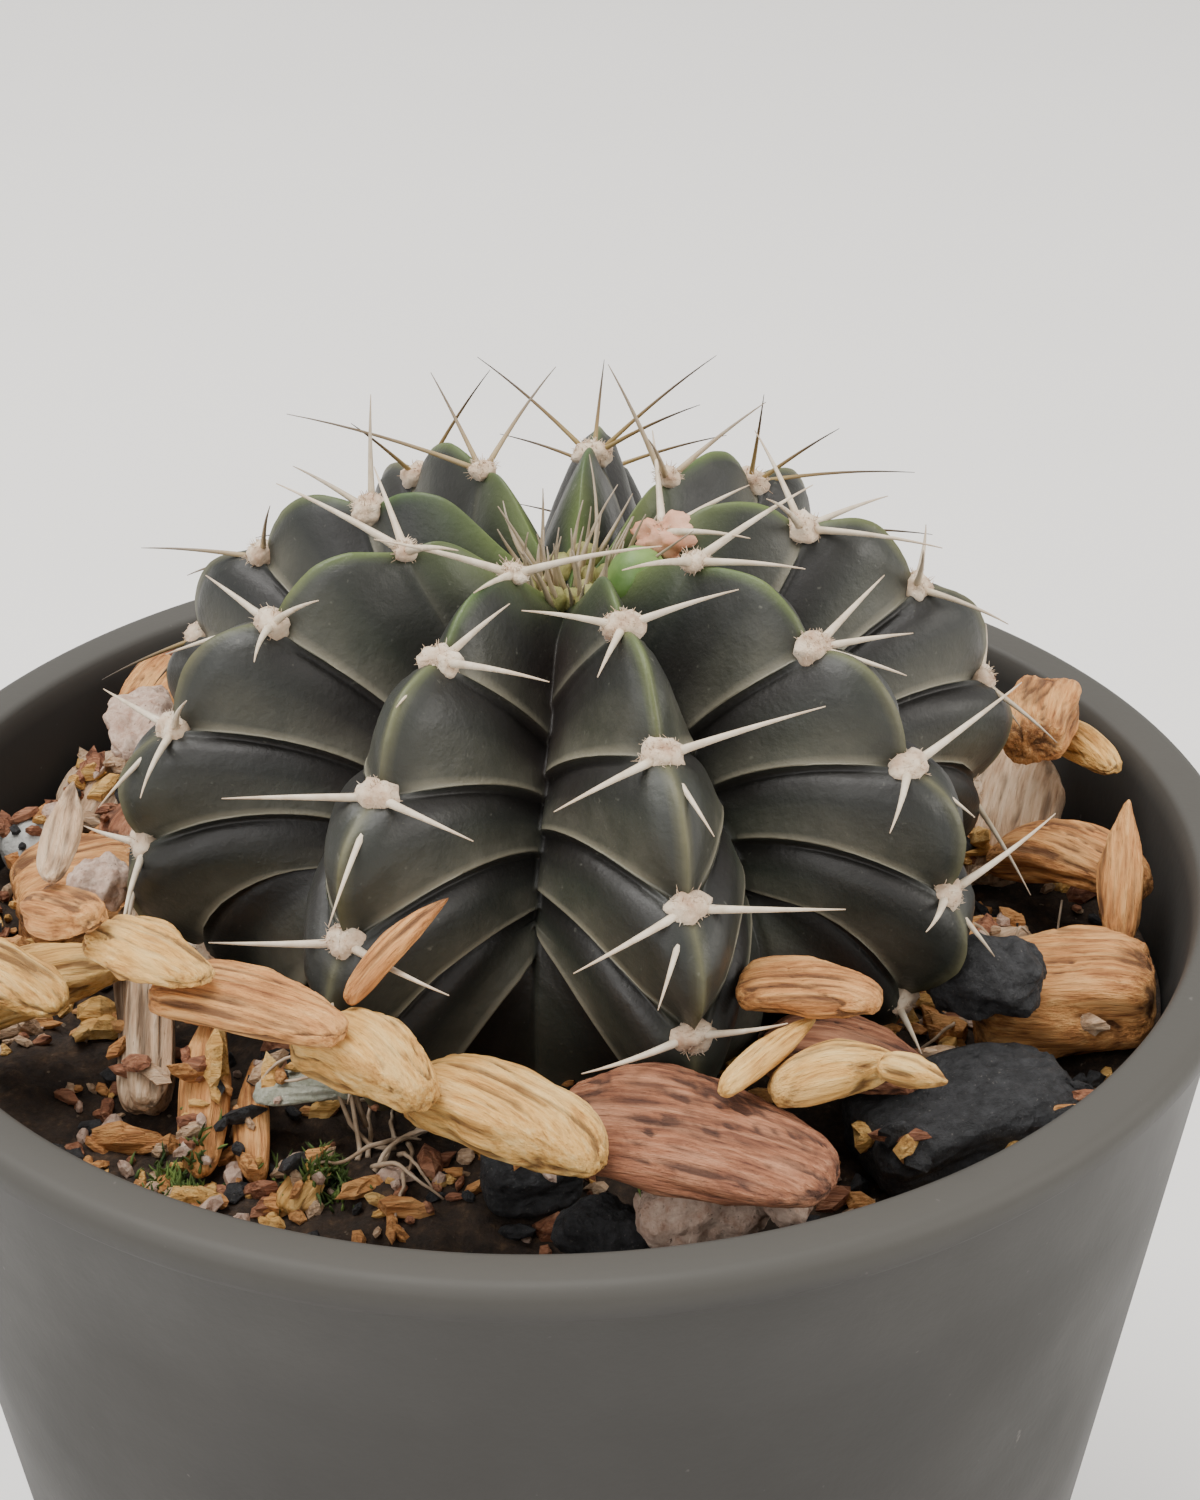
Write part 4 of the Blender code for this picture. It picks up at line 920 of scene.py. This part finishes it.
BED_FINISHES = {
    "bark": bark_finish("orange bark", (0.22, 0.072, 0.022), (0.64, 0.28, 0.085), (0.84, 0.47, 0.18)),
    "yellow_bark": bark_finish("yellow bark", (0.38, 0.155, 0.035), (0.78, 0.43, 0.115), (0.90, 0.62, 0.25)),
    "red_bark": bark_finish("red bark", (0.10, 0.032, 0.018), (0.33, 0.125, 0.058), (0.55, 0.27, 0.15)),
    "tan_bark": bark_finish("tan bark", (0.33, 0.19, 0.10), (0.58, 0.38, 0.23), (0.76, 0.58, 0.40)),
    "charcoal": charcoal_finish("charcoal", 0.45),
    "pumice": stone_finish("pink pumice", (0.45, 0.26, 0.18), (0.80, 0.62, 0.50), 1.3, 0.9),
    "pebble": stone_finish("grey pebble", (0.36, 0.36, 0.34), (0.60, 0.59, 0.56), 0.8, 0.15),
    "lichen": stone_finish("grey lichen", (0.26, 0.27, 0.19), (0.58, 0.58, 0.48), 1.6, 0.5),
}
print("bed finishes", len(BED_FINISHES))

# %% [markdown]
# ## Loose pieces
# Each row below repeats a piece of the solid model: its shape, finish, size and how it is turned. Where it
# lies is read from its solid, because the solid was dropped onto what is under it.

# %% Loose pieces
SHAPES = {
    "block": (4.8, 4.4, 0.08, 0.09),
    "flake": (3.6, 3.3, 0.40, 0.10),
    "sliver": (2.6, 2.6, 0.75, 0.07),
    "lump": (2.4, 2.4, 0.05, 0.13),
    "stone": (2.1, 2.1, 0.0, 0.04),
}
# Grain relief of a shape: depth in mm, pitch in mm along and across the grain
GRAINS = {"block": (0.24, 6.5, 0.7), "flake": (0.16, 9.0, 0.5), "sliver": (0.12, 8.0, 0.5),
          "lump": (0.42, 1.1, 1.1), "stone": (0.10, 2.5, 2.5)}
PIECE_SIDES, PIECE_RINGS = 64, 56
LOOSE_PIECES = (
    ("bark_block_right", "block", "bark", 12.5, 9.5, 6.2, -8, 4, 0.02),
    ("bark_block_left", "block", "bark", 10.0, 10.5, 6.0, 15, 3, 0.04),
    ("bark_block_small_left", "block", "red_bark", 6.0, 5.0, 3.6, -30, 8, 0.0),
    ("charcoal_large", "block", "charcoal", 15.0, 9.0, 5.0, 22, 5, 0.02),
    ("charcoal_upper", "lump", "charcoal", 8.0, 6.0, 4.8, 20, 6, 0.0),
    ("charcoal_front", "block", "charcoal", 6.5, 4.2, 4.4, 10, 0, 0.0),
    ("charcoal_mossy", "lump", "charcoal", 6.5, 5.0, 4.2, -40, 0, 0.0),
    ("pumice_front", "lump", "pumice", 8.5, 6.0, 5.2, 8, 0, 0.0),
    ("pumice_small", "lump", "pumice", 4.0, 3.2, 3.0, 60, 0, 0.0),
    ("red_flake_large", "flake", "red_bark", 18.0, 9.5, 3.6, -21, 3, 0.05),
    ("red_flake_small", "flake", "red_bark", 11.5, 6.4, 3.6, -28, 8, 0.08),
    ("yellow_chip_front", "flake", "yellow_bark", 14.5, 7.0, 4.0, -38, 3, 0.10),
    ("yellow_chip_knuckle", "flake", "yellow_bark", 10.5, 5.6, 3.6, -50, 6, 0.12),
    ("yellow_chip_right", "sliver", "yellow_bark", 9.0, 3.8, 2.8, 8, 4, 0.10),
    ("yellow_bit_right", "sliver", "yellow_bark", 4.5, 2.2, 2.0, -25, 0, 0.0),
    ("orange_flake_front_1", "flake", "bark", 13.5, 5.6, 2.2, -28, 4, 0.03),
    ("orange_flake_front_2", "flake", "yellow_bark", 10.0, 5.0, 2.0, -40, 5, 0.02),
    ("orange_flake_front_3", "flake", "bark", 5.5, 3.6, 2.4, -30, 8, 0.0),
    ("pale_strip_long", "flake", "tan_bark", 16.5, 4.2, 1.9, 97, 26, 0.02),
    ("pale_strip_beside", "flake", "tan_bark", 15.0, 3.0, 1.7, 93, 24, 0.02),
    ("orange_sliver_1", "sliver", "bark", 14.0, 3.4, 1.9, 88, 24, 0.03),
    ("orange_sliver_2", "sliver", "bark", 10.0, 2.4, 1.5, 96, 16, 0.0),
    ("stick_left", "sliver", "tan_bark", 10.5, 2.2, 1.7, 92, 5, 0.0),
    ("yellow_chip_left_1", "flake", "yellow_bark", 12.0, 5.2, 3.0, 24, 5, 0.12),
    ("yellow_chip_left_2", "flake", "yellow_bark", 10.5, 4.8, 2.4, -42, 3, 0.08),
    ("pumice_left", "lump", "pumice", 4.5, 4.0, 3.2, 0, 0, 0.0),
    ("pebble_left", "stone", "pebble", 6.0, 5.4, 4.6, 80, 0, 0.0),
    ("tan_flake_left", "flake", "tan_bark", 8.5, 5.2, 2.0, 70, 20, 0.04),
    ("red_piece_upright", "flake", "red_bark", 11.0, 4.4, 2.2, 75, 52, 0.03),
    ("red_bark_left", "block", "red_bark", 9.0, 5.4, 4.2, 70, 0, 0.0),
    ("brown_stick_left", "sliver", "bark", 8.0, 2.2, 1.6, 6, 0, 0.03),
    ("grey_flake_left", "flake", "lichen", 7.0, 3.8, 1.3, -6, 5, 0.04),
    ("leaf_bit_left", "flake", "yellow_bark", 5.0, 2.4, 1.2, 62, 6, 0.05),
    ("sliver_upright_front", "sliver", "bark", 9.0, 1.9, 1.2, 38, 30, 0.04),
    ("stick_front_right", "sliver", "yellow_bark", 9.0, 2.0, 1.5, 48, 6, 0.02),
    ("orange_flake_right", "flake", "bark", 9.0, 5.6, 2.2, -8, 4, 0.06),
    ("tan_leaf_right", "flake", "tan_bark", 15.0, 8.4, 2.0, 72, 20, 0.10),
    ("orange_strip_right", "flake", "yellow_bark", 13.0, 3.8, 2.2, -72, 12, 0.06),
    ("orange_chip_right", "flake", "bark", 13.0, 6.2, 3.4, -44, 8, 0.10),
    ("orange_spike_right", "sliver", "bark", 11.0, 3.2, 1.6, 80, 42, 0.03),
    ("bark_bit_right", "block", "tan_bark", 5.0, 4.2, 3.0, 30, 0, 0.0),
)
BACK_PIECES, BACK_FROM, BACK_TO, BACK_SEED = 12, 62.0, 292.0, 21
BACK_KINDS = (("block", "bark"), ("flake", "yellow_bark"), ("flake", "red_bark"), ("block", "charcoal"),
              ("flake", "bark"), ("lump", "pumice"))


def back_pieces():
    """Rows like those above for the arc behind the plant, drawn with the solid model's seed."""
    draw = np.random.RandomState(BACK_SEED)
    rows = []
    for number in range(BACK_PIECES):
        shape, kind = BACK_KINDS[number % len(BACK_KINDS)]
        turn = math.radians(BACK_FROM + 40.0 + (BACK_TO - BACK_FROM - 80.0) * (number + 0.5) / BACK_PIECES)
        length, width = draw.uniform(8.0, 12.0), draw.uniform(4.6, 6.6)
        thickness = draw.uniform(2.2, 4.6) if shape != "flake" else draw.uniform(1.8, 2.8)
        heading = math.degrees(turn) + draw.uniform(-35.0, 35.0)
        rows.append((f"back_piece_{number + 1:02d}", shape, kind, length, width, thickness,
                     heading, draw.uniform(0, 7), 0.04))
    return tuple(rows)


def lump_waves(directions, seed):
    """Seeded roughness over a unit ball: a sum of slow sine waves in random directions."""
    draw = np.random.RandomState(seed)
    total = np.zeros(directions.shape[:-1])
    for _ in range(7):
        total += np.sin(directions @ draw.normal(0.0, 2.6, 3) + draw.uniform(0.0, 6.28))
    return total / 7.0


def even_angles(power, count, whole):
    """Angles spaced evenly along a boxed circle, so that its flat faces get points too."""
    fine = np.linspace(0.0, whole, 1200)
    x, y = signed_power(np.cos(fine), 2.0 / power), signed_power(np.sin(fine), 2.0 / power)
    way = np.append(0.0, np.cumsum(np.hypot(np.diff(x), np.diff(y))))
    ends = 0 if whole > 4.0 else 1
    return np.interp(way[-1] * np.arange(ends, count + ends) / (count + ends), way, fine)


def piece_surface(shape, seed, length, width, thickness, bend):
    """A loose piece about its own centre, its long axis along X: points, local grain and relief.

    A boxed ellipsoid, narrowed towards its far end, roughened by seeded waves and bent upwards, as the
    solid is. Fine relief is fractal noise stretched along the grain.
    """
    along_power, around_power, point, rough = SHAPES[shape]
    polar = even_angles(along_power, PIECE_RINGS, np.pi)
    around = even_angles(around_power, PIECE_SIDES, 2.0 * np.pi)
    polar, around = np.meshgrid(polar, around, indexing="ij")
    axis = -signed_power(np.cos(polar), 2.0 / along_power)
    spread = np.sin(polar) ** (2.0 / along_power)
    narrow = 1.0 - point * np.maximum(axis, 0.0) ** 1.3
    side = spread * narrow * signed_power(np.cos(around), 2.0 / around_power)
    thin = 1.0 - 0.6 * point * np.maximum(axis, 0.0)
    top = spread * thin * signed_power(np.sin(around), 2.0 / around_power)
    waves = 1.0 + 2.2 * rough * lump_waves(np.stack((axis, side, top), axis=-1), seed)
    x = 0.5 * length * axis * (0.75 + 0.25 * waves)
    y = 0.5 * width * side * waves + 0.06 * width * np.sin(2.4 * axis + seed)
    z = 0.5 * thickness * top * waves
    depth, along_pitch, across_pitch = GRAINS[shape]
    grain = np.stack((x, y, z), axis=-1)
    relief = fractal(grain / (along_pitch, across_pitch, across_pitch) + seed, 40 + seed, 4)
    if shape in ("block", "flake"):
        splits = np.abs(fractal(grain / (along_pitch * 2.2, 1.7, 1.7) + 3.1 * seed, 90 + seed, 2))
        relief = relief - 0.9 * np.exp(-(splits / 0.05) ** 2)
    outward = unit(np.stack((0.3 * axis / length, side / width, top / thickness), axis=-1))
    points = grain + outward * (depth * relief)[..., None]
    points[..., 2] += bend * length * (1.0 - axis ** 2)
    return points, grain, relief


def make_loose(number, row):
    """One loose piece, set so that its box is centred in its solid's box."""
    name, shape, kind, length, width, thickness, heading, pitch, bend = row
    points, grain, relief = piece_surface(shape, number, length, width, thickness, bend)
    roll = 7.0 * math.sin(5.0 * number)
    turn = (Matrix.Rotation(math.radians(heading), 3, "Z") @ Matrix.Rotation(math.radians(-pitch), 3, "Y")
            @ Matrix.Rotation(math.radians(roll), 3, "X"))
    points = points @ np.array(turn).T
    low, high = [np.array(corner) / MM - (0.0, 0.0, POT_HEIGHT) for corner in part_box(name)]
    flat = points.reshape(-1, 3)
    points = points + (low + high) / 2.0 - (flat.min(axis=0) + flat.max(axis=0)) / 2.0
    rows, sides = points.shape[:2]
    quads = ring_quads(rows, sides)
    ring = np.arange(sides)
    caps = np.stack((ring[::-1], (rows - 1) * sides + ring))
    piece = make_piece("fine_" + name, points, (quads, caps), BED_FINISHES[kind],
                       {"grain": grain.reshape(-1, 3) + 11.0 * number, "relief": relief.ravel()})
    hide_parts(name)
    return piece


fine_pieces = [make_loose(number, row) for number, row in enumerate(LOOSE_PIECES + back_pieces())]
print("loose pieces", len(fine_pieces))

# %% [markdown]
# ## The mix and its crumbs
# Between the pieces the dark mix shows, with crumbs of everything in it. The mix is a waved disc that
# follows the solid's top. The crumbs are small rough lumps of a few dozen faces, seeded and dropped on
# whatever lies under them.

# %% Mix surface
MIX_INNER_RADIUS, MIX_OUTER_RADIUS = 9.0, 44.55
MIX_RINGS, MIX_SIDES = 100, 260


def mix_finish():
    """Damp dark mix: brown-black grains with fibres and pale specks."""
    material, tree, surface = shader("potting mix", 0.9)
    place = object_place(tree)
    tone = ramp(tree, noise(tree, place, 900.0, 6.0, 0.7),
                ((0.3, (0.012, 0.008, 0.006)), (0.55, (0.045, 0.027, 0.016)), (0.75, (0.13, 0.075, 0.04))))
    specks = stretch(tree, noise(tree, place, 1300.0, 2.0), 0.70, 0.76)
    tone = blend(tree, times(tree, specks, 0.6), tone, (0.34, 0.26, 0.18))
    coat(tree, surface, tone, noise(tree, place, 500.0, 3.0), (0.3, 0.7), (0.8, 1.0))
    bump(tree, surface, noise(tree, place, 1100.0, 6.0, 0.7), 0.0006)
    return material


def make_mix():
    """The waved top from under the stem to the wall, its side and its bottom, as one closed grid."""
    ring = np.arange(MIX_SIDES)
    turn = 2.0 * np.pi * ring / MIX_SIDES
    radius = np.linspace(MIX_INNER_RADIUS, MIX_OUTER_RADIUS, MIX_RINGS)[:, None]
    x, y = radius * np.sin(turn), -radius * np.cos(turn)
    waves = sum(np.sin(a * x + b * y + c) for a, b, c in MIX_WAVES)
    spots = np.stack((x, y, np.zeros_like(x)), axis=-1)
    grains = fractal(spots / 1.6, 77, 3)
    height = MIX_TOP + MIX_WAVE_HEIGHT * waves + 0.42 * grains * smooth_step(44.5, 42.5, radius)
    top = np.stack((x, y, height), axis=-1)
    low = -POT_HEIGHT + FLOOR_TOP + 0.3
    foot = RIM_INNER + low * WALL_TAPER - 0.3
    bottom = np.stack((foot * np.sin(turn), -foot * np.cos(turn), np.full_like(turn, low)), axis=-1)
    points = np.concatenate((top.reshape(-1, 3), bottom))
    caps = np.stack((ring[::-1], len(points) - MIX_SIDES + ring))
    faces = (ring_quads(MIX_RINGS + 1, MIX_SIDES), caps)
    mix = make_piece("mix_surface", points, faces, mix_finish())
    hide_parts("potting_mix")
    return mix


mix = make_mix()


# %% Crumbs
CRUMB_KINDS = {
    "bark": (520, 0.55, 1.5, 0.55), "yellow_bark": (430, 0.5, 1.5, 0.5), "red_bark": (420, 0.5, 1.4, 0.55),
    "tan_bark": (300, 0.45, 1.3, 0.5), "charcoal": (330, 0.5, 1.3, 0.8), "pumice": (240, 0.4, 1.0, 0.85),
}
CRUMB_CEILING = -5.2       # crumbs only lie where what carries them is below this
CRUMB_INNER, CRUMB_OUTER = 18.0, 43.6


def plumb(tree, x, y, top):
    """Where a plumb line from a height first meets the bed, or None."""
    return tree.ray_cast(Vector((x, y, top)), Vector((0.0, 0.0, -1.0)))[0]


def crumb_spots(tree, count, draw):
    """Places on the bed: random in the ring round the stem, on what a plumb line meets first."""
    spots = []
    while len(spots) < count:
        radius = math.sqrt(draw.uniform(CRUMB_INNER ** 2, CRUMB_OUTER ** 2))
        turn = draw.uniform(0.0, 2.0 * math.pi)
        x, y = radius * math.cos(turn), radius * math.sin(turn)
        hit = plumb(tree, x, y, 4.0)
        if hit is not None and hit.z < CRUMB_CEILING:
            spots.append((x, y, hit.z))
    return np.array(spots)


def random_axes(draw, count, tilt=0.5):
    """Three square directions for each crumb, the first two near level."""
    first = unit(draw.normal(0.0, 1.0, (count, 3)) * (1.0, 1.0, tilt))
    second = unit(np.cross(draw.normal(0.0, 0.3, (count, 3)) + (0.0, 0.0, 1.0), first))
    return np.stack((first, second, np.cross(first, second)), axis=1)


def make_crumbs(tree):
    """Crumbs of every kind, each kind one piece."""
    draw = np.random.RandomState(3)
    total = 0
    for number, (kind, (count, small, large, flatness)) in enumerate(CRUMB_KINDS.items()):
        spots = crumb_spots(tree, count, draw)
        size = small + (large - small) * draw.uniform(0.0, 1.0, count) ** 2.2
        radii = size[:, None] * np.stack((draw.uniform(0.9, 1.7, count), draw.uniform(0.5, 0.8, count),
                                          draw.uniform(0.3, 0.6, count) * (0.6 + flatness)), axis=1)
        axes = random_axes(draw, count)
        centres = spots + np.stack((0.0 * size, 0.0 * size, 0.7 * radii[:, 2]), axis=1)
        points, quads, caps = lumps(centres, axes, radii, 4, 6, 60 + number, 0.45, 0.6)
        make_piece("crumbs_" + kind, points, (quads, caps), BED_FINISHES[kind],
                   {"grain": points * 1.3, "relief": np.zeros(len(points))}, smooth=False)
        total += count
    print("crumbs", total)


bed_tree = search_tree(fine_pieces + [mix, stem])
make_crumbs(bed_tree)

# %% [markdown]
# ## Roots and moss
# Dry wiry roots lie in the bed at two places, and a little moss grows on one piece of charcoal and by the
# left rim. Roots are thin tubes along smooth random walks, and moss is hundreds of tiny pointed leaves.


# %% Roots
ROOT_CEILING = -4.5        # the bed under the roots is looked for below this height
ROOT_STEPS, ROOT_REACH = 14, 43.5
# A tangle's centre, spread, number of roots, their length and seed
ROOT_TANGLES = (((-11.0, -24.5), 2.0, 16, 8.0, 5), ((30.5, -7.0), 1.6, 12, 7.0, 6))


def root_paths(centre, spread, count, reach, seed):
    """Smooth walks that start near a centre, wander level and arch a little over the bed."""
    draw = np.random.RandomState(seed)
    heading = draw.uniform(0.0, 2.0 * np.pi, count)[:, None]
    heading = heading + np.cumsum(draw.normal(0.0, 0.22, (count, ROOT_STEPS)), 1)
    pace = reach * draw.uniform(0.6, 1.2, (count, 1)) / ROOT_STEPS
    x = np.cumsum(pace * np.cos(heading), 1) + centre[0] + draw.normal(0.0, spread, (count, 1))
    y = np.cumsum(pace * np.sin(heading), 1) + centre[1] + draw.normal(0.0, spread, (count, 1))
    arch = np.sin(np.linspace(0.0, np.pi, ROOT_STEPS)) * draw.uniform(0.2, 2.0, (count, 1))
    return np.stack((x, y, np.broadcast_to(arch, x.shape)), axis=-1)


def lay_down(paths, tree, lift):
    """Set each path's height on the bed under it, smoothed along the path; it passes under high pieces."""
    for path in paths:
        ground = []
        for x, y, _ in path:
            hit = plumb(tree, x, y, ROOT_CEILING)
            ground.append(MIX_TOP if hit is None else hit.z)
        kernel = np.array([0.1, 0.2, 0.4, 0.2, 0.1])
        path[:, 2] += np.convolve(np.pad(ground, 2, mode="edge"), kernel, mode="valid") + lift
    return paths


def make_roots(tree):
    """Two tangles of dry roots."""
    finish = plain_finish("dry root", (0.30, 0.20, 0.12), (0.66, 0.52, 0.38), 500.0, 0.0001, 0.85)
    paths = np.concatenate([lay_down(root_paths(*tangle), tree, 0.12) for tangle in ROOT_TANGLES])
    paths = paths[np.hypot(paths[..., 0], paths[..., 1]).max(axis=1) < ROOT_REACH]
    taper = np.repeat((0.20 - 0.12 * np.linspace(0.0, 1.0, paths.shape[1]))[None], len(paths), 0)
    points, quads, caps = tubes(paths, taper, 6)
    make_piece("dry_roots", points, (quads, caps), finish)
    print("roots", len(paths))


make_roots(search_tree(fine_pieces + [mix]))


# %% Moss
MOSS_REACH = 43.8
# Middle of a patch, its spread and its number of leaves
MOSS_PATCHES = ((4.2, -35.6, 2.4, 420), (-14.5, -27.0, 2.6, 300), (-24.0, -27.2, 2.4, 260))


def make_moss(tree):
    """Tiny pointed leaves that stand up from the bed in three patches."""
    draw = np.random.RandomState(9)
    spots = []
    for x, y, spread, count in MOSS_PATCHES:
        for dx, dy in draw.normal(0.0, spread / 2.0, (count, 2)):
            if math.hypot(x + dx, y + dy) < MOSS_REACH:
                hit = plumb(tree, x + dx, y + dy, 2.0)
                if hit is not None and hit.z < -1.0:
                    spots.append(hit)
    roots = np.array(spots)
    count = len(roots)
    lean = unit(draw.normal(0.0, 0.6, (count, 3)) + (0.0, 0.0, 0.9))
    reach = draw.uniform(0.5, 1.25, (count, 1, 1))
    run = np.linspace(0.0, 1.0, 4)[None, :, None]
    curl = draw.normal(0.0, 0.3, (count, 1, 3))
    paths = roots[:, None] + reach * (lean[:, None] * run + curl * run ** 2)
    taper = np.repeat(np.array([[0.09, 0.14, 0.10, 0.02]]), count, 0)
    points, quads, caps = tubes(paths, taper, 3)
    finish = plain_finish("moss", (0.020, 0.050, 0.012), (0.16, 0.24, 0.05), 600.0, 0.0001, 0.85)
    make_piece("moss", points, (quads, caps), finish)
    print("moss leaves", count)


make_moss(bed_tree)
